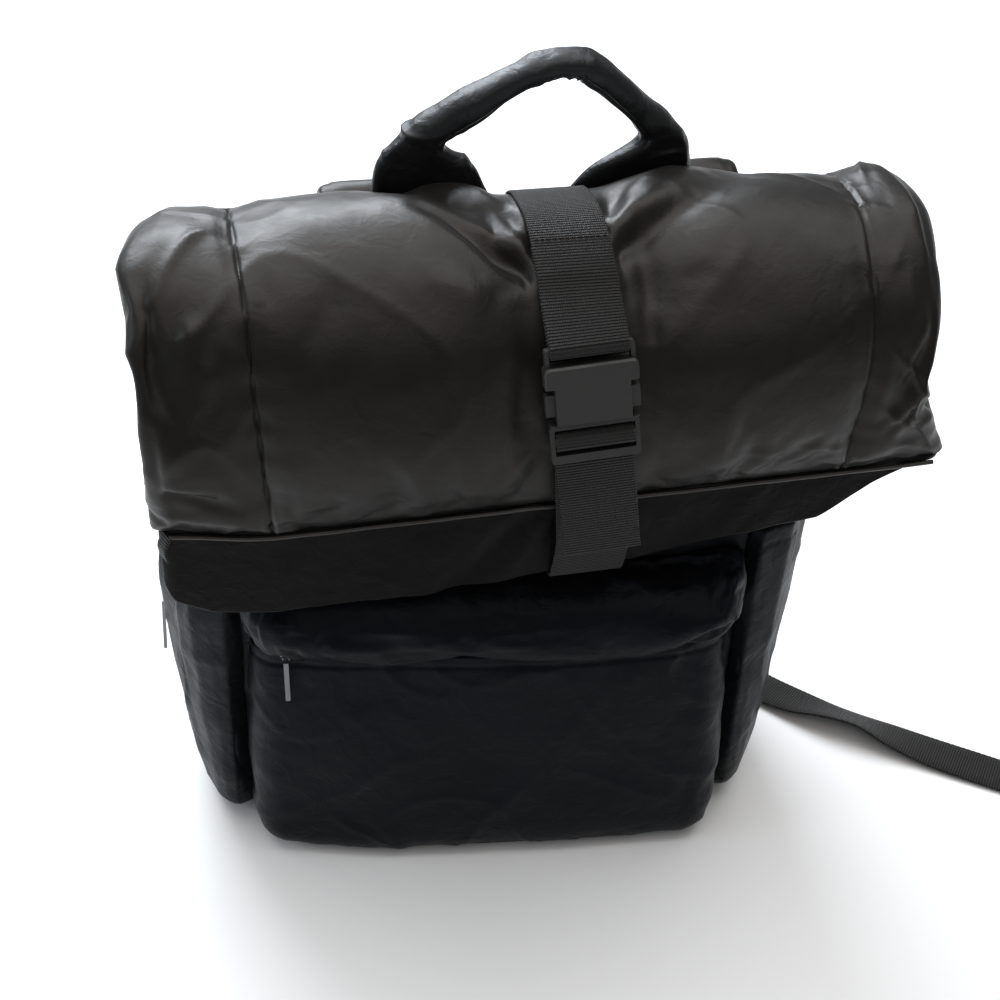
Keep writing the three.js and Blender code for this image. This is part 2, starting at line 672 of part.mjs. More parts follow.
// The upper webbing: from behind the crest down the flap, round the frame's bar and up behind itself
function closureWebbingUpper() {
  const under = WEB_CLEAR + WEB_THICK / 2;
  const over = under + WEB_THICK + WEB_CLEAR;
  const barV = (BUCKLE_LENGTH - FRAME_BAR) / 2;
  const parting = BUCKLE_ROWS.top - 0.7;
  const seated = SEAT_GAP + WEB_THICK / 2;
  const down = steps(CREST_ROW, parting, 9).map((place) =>
    onFlapStrap(place, mix(seated, over, smooth((place - CREST_ROW - 1) / (parting - CREST_ROW - 1.8)))),
  );
  const middle = BUCKLE_THICK / 2;
  const reach = FRAME_THICK / 2 + BAR_CLEAR + WEB_THICK / 2;
  const round = roundBar(FRAME_BAR / 2, FRAME_THICK / 2, WEB_THICK, -1).map(([v,
    n]) => onFrame(barV + v, middle + n));
  const before = onFrame(barV + FRAME_BAR / 2, middle + reach);
  const after = onFrame(barV + FRAME_BAR / 2 + 0.6, middle - reach);
  const fold = [0, 0.4, 0.8].map((share) => onFlapStrap(parting - share, under));
  return ribbon([...down, before, ...round, after, ...fold], WEB_THICK);
}

// The lower webbing: from the body's front, round the mouth band, up behind the male frame,
// over its middle bar, back through the lower slot and down as a free tail
function closureWebbingLower() {
  const foot = -BUCKLE_LENGTH / 2;
  const middle = BUCKLE_THICK / 2;
  const barV = MALE_TOP - TOP_RAIL - UPPER_SLOT - MIDDLE_BAR / 2;
  const reachN = FRAME_THICK / 2 + WEB_THICK / 2 + BAR_CLEAR;
  const tailN = middle - reachN;
  const anchorN = tailN - WEB_THICK - WEB_CLEAR;
  const tailEnd = foot - TAIL_DROP;
  const hem = topSection(LAST_TOP_ROW);
  const x = hem.strapX;
  const side = onFlap(LAST_TOP_ROW, x, 0).side;
  const bandFoot = hem.back.z - Math.max(bandDrop(x - WEB_WIDTH / 2), bandDrop(x),
    bandDrop(x + WEB_WIDTH / 2));
  const hanging = (y, z) => ({ at: settle(vec(x, y, z), hem.settled), side, width: WEB_WIDTH });
  const onBody = (z) => {
    const share = rowAt(BODY_ROWS, placeAtHeight(z)).settled;
    const place = vec(x + TOP_SHIFT * (1 - share), bodyFace(x, z) - SEAT_GAP - WEB_THICK / 2 - 0.2, z);
    const level = vec(1, 0, 0).applyAxisAngle(vec(0, 0, 1), radians(TOP_TWIST * share));
    return { at: settle(place, share), side: level, width: WEB_WIDTH };
  };
  const low = hem.back.y;
  const rising = [
    onBody(bandFoot + 20),
    onBody(bandFoot + 10),
    hanging(low + 25, bandFoot + 1),
    hanging(low + 19, bandFoot - 3),
    hanging(low + 12, bandFoot - 4),
    hanging(low + 6, bandFoot - 2),
    hanging(low + 2, bandFoot + 4),
    hanging(low - 3, bandFoot + 18),
    hanging(low - 7, bandFoot + 34),
  ];
  const behind = [onFrame(foot - 9, anchorN - 2.6), onFrame(foot + 2, anchorN), onFrame(barV - 1.4,
    anchorN + 0.3)];
  const round = roundBar(MIDDLE_BAR / 2, FRAME_THICK / 2, WEB_THICK, 1)
    .slice(0, -1)
    .reverse()
    .map(([v, n]) => onFrame(barV + v, middle + n));
  const leaving = onFrame(foot - 2, tailN);
  const fallen = (share) => ({
    ...leaving,
    at: leaving.at.clone().add(vec(TAIL_SLANT * share, TAIL_LEAN * Math.sin(0.5 * Math.PI * share),
      -TAIL_DROP * share)),
  });
  const tail = [
    onFrame(barV - MIDDLE_BAR / 2, middle + reachN),
    onFrame(barV - MIDDLE_BAR / 2 - 1.2, middle + FRAME_THICK / 2 + 0.9),
    onFrame(barV - MIDDLE_BAR / 2 - 2.5, middle),
    onFrame(foot + LOWER_BAR + 1.2, middle - FRAME_THICK / 2 - 0.5),
    onFrame(foot + LOWER_BAR - 0.3, tailN),
    leaving,
    ...[0.2, 0.45, 0.7, 1].map(fallen),
  ];
  return ribbon([...rising, ...behind, ...round, ...tail], WEB_THICK);
}

// Place of the body's front face at x, and of its side at y, for what is sewn on it
function bodyFace(x, z) {
  const place = placeAtHeight(z);
  const s = bodySection(place);
  const beyond = Math.max(0, Math.abs(x) - (s.half - s.corner));
  return s.front.y + s.corner - Math.sqrt(Math.max(0, s.corner ** 2 - Math.min(beyond, s.corner) ** 2));
}
function bodySide(y, z) {
  const s = bodySection(placeAtHeight(z));
  const middle = (s.front.y + s.back.y) / 2;
  const h = (s.back.y - s.front.y) / 2;
  const v = y - middle;
  const beyond = Math.max(0, Math.abs(v) - (h - s.corner));
  const rounded = s.half - s.corner + Math.sqrt(Math.max(0, s.corner ** 2 - beyond ** 2));
  return rounded - (beyond > 0 ? 0 : s.tuck * (1 - (v / h) ** 2));
}
function placeAtHeight(z) {
  let [low, high] = [0, BODY_ROWS.length - 1];
  for (let i = 0; i < 30; i++) {
    const middle = (low + high) / 2;
    if (rowAt(BODY_ROWS, middle).z * SPLIT_HEIGHT < z) low = middle;
    else high = middle;
  }
  return (low + high) / 2;
}
const settleOnBody = (p) => settle(p, clamp(rowAt(BODY_ROWS, placeAtHeight(p.z)).settled, 0, 1));

// What is sewn on the bag starts a little inside its face and is cut back to leave SEAT_GAP
const CUT_DEPTH = 1.5;
const grownBody = toSolid(loft(BODY_PLACES.map((place) => ring(bodySection(place), -SEAT_GAP))));
const grownTop = toSolid(
  loft(steps(0, CREST_ROW + 3, 2 * CREST_ROW + 6).map((place) => ring(topSection(place), -SEAT_GAP))),
);
const cutBy = (geometry, ...solids) =>
  toGeometry(solids.reduce((made, solid) => made.subtract(solid), toSolid(geometry)));

// Rounded outline of the front pocket at a row of its table, inset for the inside of its wall.
// z is a share of POCKET_TOP, half of POCKET_WIDTH / 2 and front of POCKET_FRONT.
const POCKET_ROWS = [
  { z: 0, half: 0.9, front: 0.87 },
  { z: 0.05, half: 0.97, front: 0.955 },
  { z: 0.14, half: 1, front: 0.985 },
  { z: 0.36, half: 1.01, front: 0.975 },
  { z: 0.62, half: 1.005, front: 0.95 },
  { z: 0.86, half: 0.995, front: 0.905 },
  { z: 1, half: 0.985, front: 0.865 },
];
function pocketOutline(row, inset) {
  const z = mix(POCKET_FOOT, POCKET_TOP, row.z);
  const half = (row.half * POCKET_WIDTH) / 2 - inset;
  const front = row.front * POCKET_FRONT - inset;
  const r = 20 - inset;
  const edge = half - r;
  const seat = -bodyFace(half, z) - CUT_DEPTH;
  const right = [[half, seat], [half, mix(seat, front - r, 0.6)]];
  for (const angle of steps(0, 90, 4)) {
    right.push([edge + r * Math.cos(radians(angle)), front - r + r * Math.sin(radians(angle))]);
  }
  const middle = spaced(edge, -edge, 7).map((x) => [x, front]);
  const left = right.map(([x, y]) => [-x, y]).reverse();
  return [...right, ...middle, ...left].map(([x, y]) =>
    vec(x, -y - POCKET_BULGE * Math.max(0, 1 - (x / edge) ** 2), z),
  );
}
const onBodyLine = (outline) => outline.map((p) => vec(p.x, bodyFace(p.x, p.z) + CUT_DEPTH, p.z));
const solidPocketRow = (row, inset) => {
  const outline = pocketOutline(rowAt(POCKET_ROWS, row), inset);
  return [...outline, ...onBodyLine(outline).reverse()];
};
const grownPocket = toSolid(loft(POCKET_ROWS.map((_, row) => solidPocketRow(row, -SEAT_GAP)),
  { caps: "strip" }));
function frontPocket() {
  const openRow = (row, shift = 0) => {
    const inner = pocketOutline(rowAt(POCKET_ROWS, row), POCKET_WALL).reverse();
    const lifted = inner.map((p) => p.setZ(p.z + shift));
    return [...pocketOutline(rowAt(POCKET_ROWS, row), 0).map((p) => p.setZ(p.z + shift)), ...lifted];
  };
  const rings = [0, 0.5, 1].map((row) => solidPocketRow(row, 0));
  rings.push(openRow(1, 0.5), ...[2, 3, 4, 5, 6].map((row) => openRow(row)));
  return cutBy(loft(rings, { caps: "strip" }), grownBody);
}

// The padded roll over the pocket's zip. across is a share of POCKET_WIDTH / 2, low and high are
// shares of ROLL_HEIGHT above the slit, and out is a share of the roll's depth off the body.
const ROLL_ROWS = [
  { across: -1, low: 0.34, high: 0.9, out: 0.3 },
  { across: -0.96, low: 0.22, high: 0.98, out: 0.62 },
  { across: -0.86, low: 0.1, high: 1, out: 0.88 },
  { across: -0.68, low: 0.02, high: 0.98, out: 0.97 },
  { across: -0.42, low: 0, high: 0.95, out: 1 },
  { across: -0.14, low: 0.01, high: 0.93, out: 0.98 },
  { across: 0.14, low: 0, high: 0.93, out: 1 },
  { across: 0.42, low: -0.01, high: 0.92, out: 1 },
  { across: 0.68, low: 0, high: 0.92, out: 0.97 },
  { across: 0.86, low: 0.08, high: 1, out: 0.9 },
  { across: 0.96, low: 0.2, high: 1.02, out: 0.66 },
  { across: 1, low: 0.32, high: 0.98, out: 0.3 },
];
const ROLL_PROFILE = [
  { out: 0, up: 1 },
  { out: 0.3, up: 0.99 },
  { out: 0.62, up: 0.93 },
  { out: 0.85, up: 0.79 },
  { out: 0.98, up: 0.6 },
  { out: 1, up: 0.4 },
  { out: 0.94, up: 0.2 },
  { out: 0.8, up: 0.05 },
  { out: 0.6, up: 0 },
  { out: 0.3, up: 0.04 },
  { out: 0, up: 0.1 },
  { out: 0, up: 0.4 },
  { out: 0, up: 0.7 },
];
function pocketBaffle() {
  const roll = loft(
    steps(0, ROLL_ROWS.length - 1, 22).map((place) => {
      const row = rowAt(ROLL_ROWS, place);
      const x = (row.across * POCKET_WIDTH) / 2;
      const foot = POCKET_TOP + ZIP_SLIT;
      return ROLL_PROFILE.map(({ out, up }) => {
        const z = foot + mix(row.low, row.high, up) * ROLL_HEIGHT;
        const seat = bodyFace(x, z) + CUT_DEPTH;
        const depth = Math.max(4, (ROLL_FRONT + seat) * row.out);
        return settleOnBody(vec(x, seat - out * depth, z));
      });
    }),
  );
  return cutBy(roll, grownBody);
}

// The zip along the pocket's top edge, and its slider with the pull hanging from it
const ZIP_SIDE = 0.82;
function pocketZip() {
  const rim = rowAt(POCKET_ROWS, POCKET_ROWS.length - 1);
  const middle = rim.front * POCKET_FRONT - POCKET_WALL / 2;
  const edge = (ZIP_SIDE * POCKET_WIDTH) / 2;
  const stations = steps(-edge, edge, 14).map((x) => ({
    at: vec(x, -middle - POCKET_BULGE * (1 - (x / edge) ** 2) * 0.9, POCKET_TOP + SEAT_GAP + 0.6),
    side: vec(0, 1, 0),
    width: POCKET_WALL - 1,
  }));
  return ribbon(stations, 1.2);
}
function zipPull() {
  const slider = toSolid(plate(7, 8, 2.4, 1.5).translate(0, 0, 0));
  const eye = box(4, 4, 1.6, 0, -5, 1.4);
  const neck = box(PULL_WIDTH, 5, PULL_THICK, 0, -7.6, 0.2);
  const bar = toSolid(plate(PULL_WIDTH, PULL_LENGTH, PULL_THICK, 0.8).rotateX(Math.PI / 2)).translate([
    0,
    -8.2,
    -PULL_LENGTH / 2 + 0.6,
  ]);
  return toGeometry(slider.add(eye).add(neck).add(bar));
}
function frontZipPull() {
  const x = -0.83 * (POCKET_WIDTH / 2);
  const rim = rowAt(POCKET_ROWS, POCKET_ROWS.length - 1);
  const y = -(rim.front * POCKET_FRONT - POCKET_WALL / 2) - 2;
  return zipPull().translate(x, y, POCKET_TOP + 2 * SEAT_GAP + 1.2);
}

// The slider on the left side, with its pull hanging down. back is a share of BODY_DEPTH, up of BAG_HEIGHT
// and lean is in degrees.
const SIDE_PULL = { back: -0.048, up: 0.3325, lean: 2.5 };
function sideZipPull() {
  const slider = toSolid(plate(7, 9, 2.4, 1.5));
  const eye = box(4, 5, 2, 0, -5, 1.4);
  const bar = toSolid(plate(PULL_WIDTH, PULL_LENGTH, PULL_THICK, 0.8)).translate([0,
    -PULL_LENGTH / 2 - 6, 0.9]);
  const y = SIDE_PULL.back * BODY_DEPTH;
  const z = SIDE_PULL.up * BAG_HEIGHT;
  const face = -bodySide(y, z) - LEFT_STAND_OFF - SIDE_WALL;
  return toGeometry(slider.add(eye).add(bar))
    .rotateX(Math.PI / 2)
    .rotateZ(-Math.PI / 2)
    .rotateY(radians(SIDE_PULL.lean))
    .translate(face - SEAT_GAP, y, z);
}

// A gathered pocket that hugs one side of the body, open at the top.
// z is a share of its height, out of SIDE_STAND_OFF.
const SIDE_ROWS = [
  { z: 0, out: 0.75 },
  { z: 0.06, out: 0.88 },
  { z: 0.2, out: 0.96 },
  { z: 0.42, out: 1 },
  { z: 0.66, out: 1 },
  { z: 0.86, out: 0.92 },
  { z: 1, out: 0.72 },
];
const SIDE_STEPS = 16;
const GATHERS = 6;
function sidePocket(sign, height, standOff) {
  const surface = (t, z, lift) => {
    const s = bodySection(placeAtHeight(z));
    const start = bodyFace(POCKET_WIDTH / 2 + 2.5, z);
    const end = s.back.y - 8;
    const at = (q) => {
      const y = mix(start, end, 0.5 - 0.5 * Math.cos(Math.PI * clamp(q, 0, 1)));
      return vec(bodySide(y, z), y, z);
    };
    const along = at(t + 0.03).sub(at(t - 0.03)).normalize();
    const p = at(t).addScaledVector(vec(along.y, -along.x, 0), lift);
    p.x *= sign;
    return settleOnBody(p);
  };
  const outline = (place, lift, hollow) => {
    const row = rowAt(SIDE_ROWS, place);
    const z = mix(SIDE_FOOT, height, row.z);
    return steps(0, 1, SIDE_STEPS).map((t) => {
      const swell = Math.max(0, Math.sin(Math.PI * t)) ** 0.42;
      const gather = GATHER_DEPTH * Math.sin(2 * Math.PI * GATHERS * t) * smooth(place / 5 - 0.3) * swell;
      const off = hollow ? standOff * row.out * swell + gather : 0;
      return surface(t, z, Math.max(off, 0) + lift - CUT_DEPTH * (1 - swell));
    });
  };
  const ringAt = (place, hollow, shift = 0) => {
    const outer = outline(place, SIDE_WALL, true);
    const inner = outline(place, hollow ? 0 : -CUT_DEPTH, hollow).reverse();
    return [...outer, ...inner].map((p) => p.setZ(p.z + shift));
  };
  const rings = [ringAt(0, false), ringAt(0.5, false), ringAt(0.5, true, 0.5)];
  rings.push(...[1, 2, 3, 4, 5, 6].map((place) => ringAt(place, true)));
  return cutBy(loft(rings, { caps: "strip" }), grownBody, grownPocket);
}

// The grab handle: a padded strip folded to a roll, with flat wings at both ends.
// The x values are shares of HANDLE_SPAN / 2, the z values of HANDLE_RISE above its foot,
// back is its middle behind the crest in HANDLE_TUBE, and thick is a share of HANDLE_TUBE.
const HANDLE_ROWS = [
  { outerX: -0.98, outerZ: 0, innerX: -0.3, innerZ: -0.02, back: 0.78, thick: 0.42 },
  { outerX: -1.01, outerZ: 0.17, innerX: -0.29, innerZ: 0.13, back: 0.36, thick: 0.55 },
  { outerX: -0.99, outerZ: 0.38, innerX: -0.38, innerZ: 0.32, back: 0.24, thick: 0.72 },
  { outerX: -0.86, outerZ: 0.54, innerX: -0.56, innerZ: 0.47, back: 0.2, thick: 0.9 },
  { outerX: -0.66, outerZ: 0.7, innerX: -0.46, innerZ: 0.57, back: 0.18, thick: 1 },
  { outerX: -0.25, outerZ: 0.93, innerX: -0.15, innerZ: 0.78, back: 0.14, thick: 1 },
  { outerX: 0.04, outerZ: 1.05, innerX: 0.06, innerZ: 0.89, back: 0.12, thick: 1.02 },
  { outerX: 0.28, outerZ: 1.06, innerX: 0.22, innerZ: 0.895, back: 0.12, thick: 1.04 },
  { outerX: 0.45, outerZ: 0.97, innerX: 0.32, innerZ: 0.83, back: 0.13, thick: 1 },
  { outerX: 0.74, outerZ: 0.69, innerX: 0.58, innerZ: 0.57, back: 0.18, thick: 0.98 },
  { outerX: 0.94, outerZ: 0.5, innerX: 0.66, innerZ: 0.43, back: 0.2, thick: 0.9 },
  { outerX: 1.01, outerZ: 0.3, innerX: 0.42, innerZ: 0.27, back: 0.25, thick: 0.72 },
  { outerX: 1.01, outerZ: 0.12, innerX: 0.27, innerZ: 0.09, back: 0.4, thick: 0.55 },
  { outerX: 0.97, outerZ: -0.04, innerX: 0.27, innerZ: -0.05, back: 0.8, thick: 0.42 },
];
function handle() {
  const arch = loft(
    steps(0, HANDLE_ROWS.length - 1, 26).map((place) => {
      const row = rowAt(HANDLE_ROWS, place);
      const y = HANDLE_BACK + row.back * HANDLE_TUBE;
      const at = (x, z) => vec((x * HANDLE_SPAN) / 2, y, HANDLE_FOOT + z * HANDLE_RISE * 1.2);
      const outer = at(row.outerX, row.outerZ);
      const inner = at(row.innerX, row.innerZ);
      const middle = outer.clone().add(inner).multiplyScalar(0.5);
      const across = outer.clone().sub(inner).multiplyScalar(0.5);
      const thick = (row.thick * HANDLE_TUBE) / 2;
      return Array.from({ length: 12 }, (_, k) => {
        const angle = (2 * Math.PI * k) / 12;
        const c = Math.sign(Math.cos(angle)) * Math.abs(Math.cos(angle)) ** 0.8;
        const q = Math.sign(Math.sin(angle)) * Math.abs(Math.sin(angle)) ** 0.8;
        return settle(middle.clone().addScaledVector(across, c).add(vec(0, thick * q, 0)), 1);
      });
    }),
  );
  return cutBy(arch, grownTop);
}

// Shoulder straps on the bag before it settles. back is a share of BODY_DEPTH, up of BAG_HEIGHT,
// across of SHOULDER_SPACING / 2, and the rest are shares of the strap's own sizes.
const STRAP_ROWS = [
  { across: 1, back: 0.328, up: 0.85139, wide: 0.9, thick: 0.3 },
  { across: 1, back: 0.344, up: 0.88161, wide: 0.97, thick: 0.6 },
  { across: 1.01, back: 0.392, up: 0.91184, wide: 1, thick: 0.9 },
  { across: 1.01, back: 0.472, up: 0.92191, wide: 1, thick: 1 },
  { across: 1.02, back: 0.552, up: 0.90428, wide: 1, thick: 1 },
  { across: 1.02, back: 0.616, up: 0.86902, wide: 1, thick: 1 },
  { across: 1, back: 0.64, up: 0.75567, wide: 1, thick: 1 },
  { across: 0.98, back: 0.648, up: 0.62972, wide: 1, thick: 1 },
  { across: 1, back: 0.656, up: 0.50378, wide: 0.96, thick: 1 },
  { across: 1.06, back: 0.672, up: 0.39043, wide: 0.88, thick: 1 },
  { across: 1.09, back: 0.6912, up: 0.34509, wide: 0.74, thick: 0.75 },
  { across: 1.11, back: 0.6976, up: 0.32242, wide: 0.5, thick: 0.4 },
  { across: 1.137, back: 0.6904, up: 0.29975, wide: 0.42, thick: 0.34 },
];
const settleBack = (p) => settle(p,
  smooth((p.z - 120) / 180)).add(vec(STRAP_PUSH * smooth((p.z - 120) / 180), 0, 0));
function shoulderStrap(sign) {
  const places = steps(0, STRAP_ROWS.length - 1, 2 * STRAP_ROWS.length - 2);
  const at = (place) => {
    const row = rowAt(STRAP_ROWS, place);
    return vec((sign * row.across * SHOULDER_SPACING) / 2, row.back * BODY_DEPTH, row.up * BAG_HEIGHT);
  };
  const padded = loft(
    places.map((place) => {
      const row = rowAt(STRAP_ROWS, place);
      const along = at(place + 0.05).sub(at(place - 0.05)).normalize();
      const side = vec(1, 0, 0).addScaledVector(along, -along.x).normalize();
      const normal = side.clone().cross(along).normalize();
      const [w, h] = [(row.wide * SHOULDER_WIDTH) / 2, (row.thick * SHOULDER_THICK) / 2];
      const round = Math.min(h, 5);
      const face = [[1, 0.3], [1 - round / w, 1], [0, 1], [round / w - 1, 1], [-1, 0.3]];
      const outline = [...face, ...face.map(([a, b]) => [-a, -b])];
      return outline.map(([a, b]) =>
        settleBack(at(place).addScaledVector(side, a * w).addScaledVector(normal, b * h)),
      );
    }),
  );
  return cutBy(padded, grownBody, grownTop);
}

// The adjuster under each shoulder strap, its own frame: u across, v up the strap, n away from the bag
function adjusterFrame(sign) {
  const top = vec(sign * ADJUSTER_OUT, ADJUSTER_BACK, ADJUSTER_TOP);
  const anchor = vec(sign * ANCHOR_OUT, ANCHOR_BACK, ANCHOR_HEIGHT);
  const v = top.clone().sub(anchor).normalize();
  const n = vec(0, 1, 0).addScaledVector(v, -v.y).normalize();
  const u = v.clone().cross(n).normalize();
  const middle = top.clone().addScaledVector(v, -ADJUSTER_HEIGHT / 2 + 2);
  return { u, v, n, middle, anchor, matrix: new THREE.Matrix4().makeBasis(u, v, n).setPosition(middle) };
}
function strapAdjuster(sign) {
  const thick = ADJUSTER_THICK;
  const slot = TAPE_WIDTH + 1.4;
  const solid = toSolid(plate(ADJUSTER_WIDTH, ADJUSTER_HEIGHT, thick, 3, 0.6).translate(0, 0, -thick / 2))
    .subtract(box(slot, 5, 4 * thick, 0, ADJUSTER_HEIGHT / 2 - 5.9, 0))
    .subtract(box(slot, 12.4, 4 * thick, 0, -ADJUSTER_HEIGHT / 2 + 9.2, 0))
    .add(box(ADJUSTER_WIDTH - 2, 4, thick, 0, -ADJUSTER_HEIGHT / 2 + 9.2, 0));
  return toGeometry(solid).applyMatrix4(adjusterFrame(sign).matrix);
}

// The tab that holds the adjuster: a loop of tape from the strap's end round the top bar
const TAPE_REACH = ADJUSTER_THICK / 2 + TAPE_THICK / 2 + BAR_CLEAR;
function onAdjuster(sign, v, n) {
  const frame = adjusterFrame(sign);
  return { at: vec(0, v, n).applyMatrix4(frame.matrix), side: frame.u, width: TAPE_WIDTH };
}
const tapeRound = (sign, barV, halfV, toward) =>
  roundBar(halfV, ADJUSTER_THICK / 2, TAPE_THICK, toward).map(([v, n]) => onAdjuster(sign, barV + v, n));
function strapTab(sign) {
  const barV = ADJUSTER_HEIGHT / 2 - 1.7;
  const round = tapeRound(sign, barV, 1.7, -1);
  const end = (n) => onAdjuster(sign, barV + TAB_LENGTH, n);
  return ribbon([end(TAPE_REACH), ...round, end(-TAPE_REACH)], TAPE_THICK);
}

// Rows of the free ends of the adjusting tapes. x, y and z are shares of TAIL_REACH from the origin,
// and roll turns the tape about its own run in degrees.
const RIGHT_TAIL = [
  { x: 0.3526, y: 0.26301, z: 0.1503, roll: 0 },
  { x: 0.38439, y: 0.24855, z: 0.06936, roll: 0 },
  { x: 0.43353, y: 0.20231, z: 0.02023, roll: 0 },
  { x: 0.49133, y: 0.14451, z: 0.008671, roll: 0 },
  { x: 0.54335, y: 0.095376, z: 0.009249, roll: -4 },
  { x: 0.60116, y: 0.052023, z: 0.01561, roll: -12 },
  { x: 0.65318, y: 0.020231, z: 0.02312, roll: -30 },
  { x: 0.7052, y: -0.0086705, z: 0.02081, roll: -26 },
  { x: 0.75723, y: -0.040462, z: 0.01272, roll: -10 },
  { x: 0.81503, y: -0.072254, z: 0.008671, roll: -3 },
  { x: 0.87861, y: -0.10694, z: 0.007514, roll: 0 },
  { x: 0.9422, y: -0.13873, z: 0.00578, roll: 0 },
  { x: 1, y: -0.16763, z: 0.004046, roll: 0 },
];
const LEFT_TAIL = [
  { x: -0.33526, y: 0.26879, z: 0.1792, roll: 0 },
  { x: -0.34393, y: 0.27457, z: 0.1156, roll: 0 },
  { x: -0.34971, y: 0.27746, z: 0.06358, roll: 0 },
];
function adjustWebbing(sign, rows) {
  const frame = adjusterFrame(sign);
  const barV = -ADJUSTER_HEIGHT / 2 + 9.2;
  const round = tapeRound(sign, barV, 2, 1).slice(0, -1).reverse();
  const sewn = (z) => {
    const along = frame.anchor.clone().addScaledVector(frame.v, (z - frame.anchor.z) / frame.v.z);
    along.y = bodySection(placeAtHeight(z)).back.y + SEAT_GAP + TAPE_THICK / 2;
    return { at: along, side: frame.u, width: TAPE_WIDTH };
  };
  const anchored = [
    sewn(18),
    sewn(32),
    onAdjuster(sign, -ADJUSTER_HEIGHT / 2 - 14, -TAPE_REACH - 3),
    onAdjuster(sign, -ADJUSTER_HEIGHT / 2 - 4, -TAPE_REACH - 0.6),
    onAdjuster(sign, -ADJUSTER_HEIGHT / 2 + 3, -TAPE_REACH),
  ];
  const over = [onAdjuster(sign, -ADJUSTER_HEIGHT / 2 + 2, TAPE_REACH), onAdjuster(sign,
    -ADJUSTER_HEIGHT / 2 - 6, TAPE_REACH)];
  const places = steps(0, rows.length - 1, 3 * (rows.length - 1));
  const tail = places.map((place) => {
    const row = rowAt(rows, place);
    const [a, b] = [rowAt(rows, place + 0.1), rowAt(rows, place - 0.1)];
    const along = vec(a.x - b.x, a.y - b.y, a.z - b.z).normalize();
    const flat = vec(0, 0, 1).cross(along);
    const side = flat.lengthSq() > 0.2 && sign > 0 ? flat.normalize() : frame.u.clone();
    if (side.dot(frame.u) < 0 && place < 3) side.negate();
    const at = vec(row.x, row.y, row.z).multiplyScalar(TAIL_REACH);
    return { at, side: side.applyAxisAngle(along, radians(row.roll)), width: TAPE_WIDTH };
  });
  return cutBy(ribbon([...anchored, ...round, ...over, ...tail], TAPE_THICK), grownBody);
}

// Assembly
const bag = new THREE.Group();
function add(name, geometry, material) {
  const mesh = new THREE.Mesh(geometry, material);
  mesh.name = name;
  bag.add(mesh);
}
add("body_shell", bodyShell(), MATERIALS.lowerPuffer);
add("roll_top", rollTop(), MATERIALS.puffer);
add("mouth_band", mouthBand(), MATERIALS.puffer);
add("hem_piping", hemPiping(), MATERIALS.puffer);
add("front_pocket", frontPocket(), MATERIALS.lowerPuffer);
add("pocket_baffle", pocketBaffle(), MATERIALS.lowerPuffer);
add("front_zip", pocketZip(), MATERIALS.webbing);
add("front_zip_pull", frontZipPull(), MATERIALS.metal);
add("side_pocket_left", sidePocket(-1, LEFT_SIDE_HEIGHT, LEFT_STAND_OFF), MATERIALS.lowerPuffer);
add("side_zip_pull", sideZipPull(), MATERIALS.metal);
add("side_pocket_right", sidePocket(1, SIDE_HEIGHT, SIDE_STAND_OFF), MATERIALS.lowerPuffer);
add("handle", handle(), MATERIALS.puffer);
add("closure_webbing_upper", closureWebbingUpper(), MATERIALS.webbing);
add("buckle_female", buckleFemale(), MATERIALS.plastic);
add("buckle_male", buckleMale(), MATERIALS.plastic);
add("closure_webbing_lower", closureWebbingLower(), MATERIALS.webbing);
for (const [side, sign, rows] of [["left", -1, LEFT_TAIL], ["right", 1, RIGHT_TAIL]]) {
  add(`shoulder_strap_${side}`, shoulderStrap(sign), MATERIALS.puffer);
  add(`strap_tab_${side}`, strapTab(sign), MATERIALS.webbing);
  add(`strap_adjuster_${side}`, strapAdjuster(sign), MATERIALS.plastic);
  add(`adjust_webbing_${side}`, adjustWebbing(sign, rows), MATERIALS.webbing);
}

export default bag;
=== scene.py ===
"""Visual model of the quilted puffer backpack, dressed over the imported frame, in metres."""
import bpy
import math
import numpy as np
from mathutils import Matrix, Vector


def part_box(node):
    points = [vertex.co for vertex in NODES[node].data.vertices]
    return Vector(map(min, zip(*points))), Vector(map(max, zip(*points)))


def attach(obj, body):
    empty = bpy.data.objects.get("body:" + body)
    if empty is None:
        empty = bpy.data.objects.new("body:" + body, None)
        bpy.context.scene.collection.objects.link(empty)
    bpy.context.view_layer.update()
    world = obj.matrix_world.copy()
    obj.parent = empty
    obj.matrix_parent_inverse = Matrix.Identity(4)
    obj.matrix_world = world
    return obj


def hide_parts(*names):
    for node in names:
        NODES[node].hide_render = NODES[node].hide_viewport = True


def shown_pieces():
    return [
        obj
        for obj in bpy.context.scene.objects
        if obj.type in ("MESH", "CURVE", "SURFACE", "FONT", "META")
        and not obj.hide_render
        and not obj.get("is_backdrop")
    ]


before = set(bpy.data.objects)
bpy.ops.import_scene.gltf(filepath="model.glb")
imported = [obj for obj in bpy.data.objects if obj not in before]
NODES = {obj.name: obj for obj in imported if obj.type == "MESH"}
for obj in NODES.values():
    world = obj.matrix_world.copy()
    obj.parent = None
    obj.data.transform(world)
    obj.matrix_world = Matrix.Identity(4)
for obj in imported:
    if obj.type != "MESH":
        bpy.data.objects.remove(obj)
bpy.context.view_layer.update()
MM = 0.001

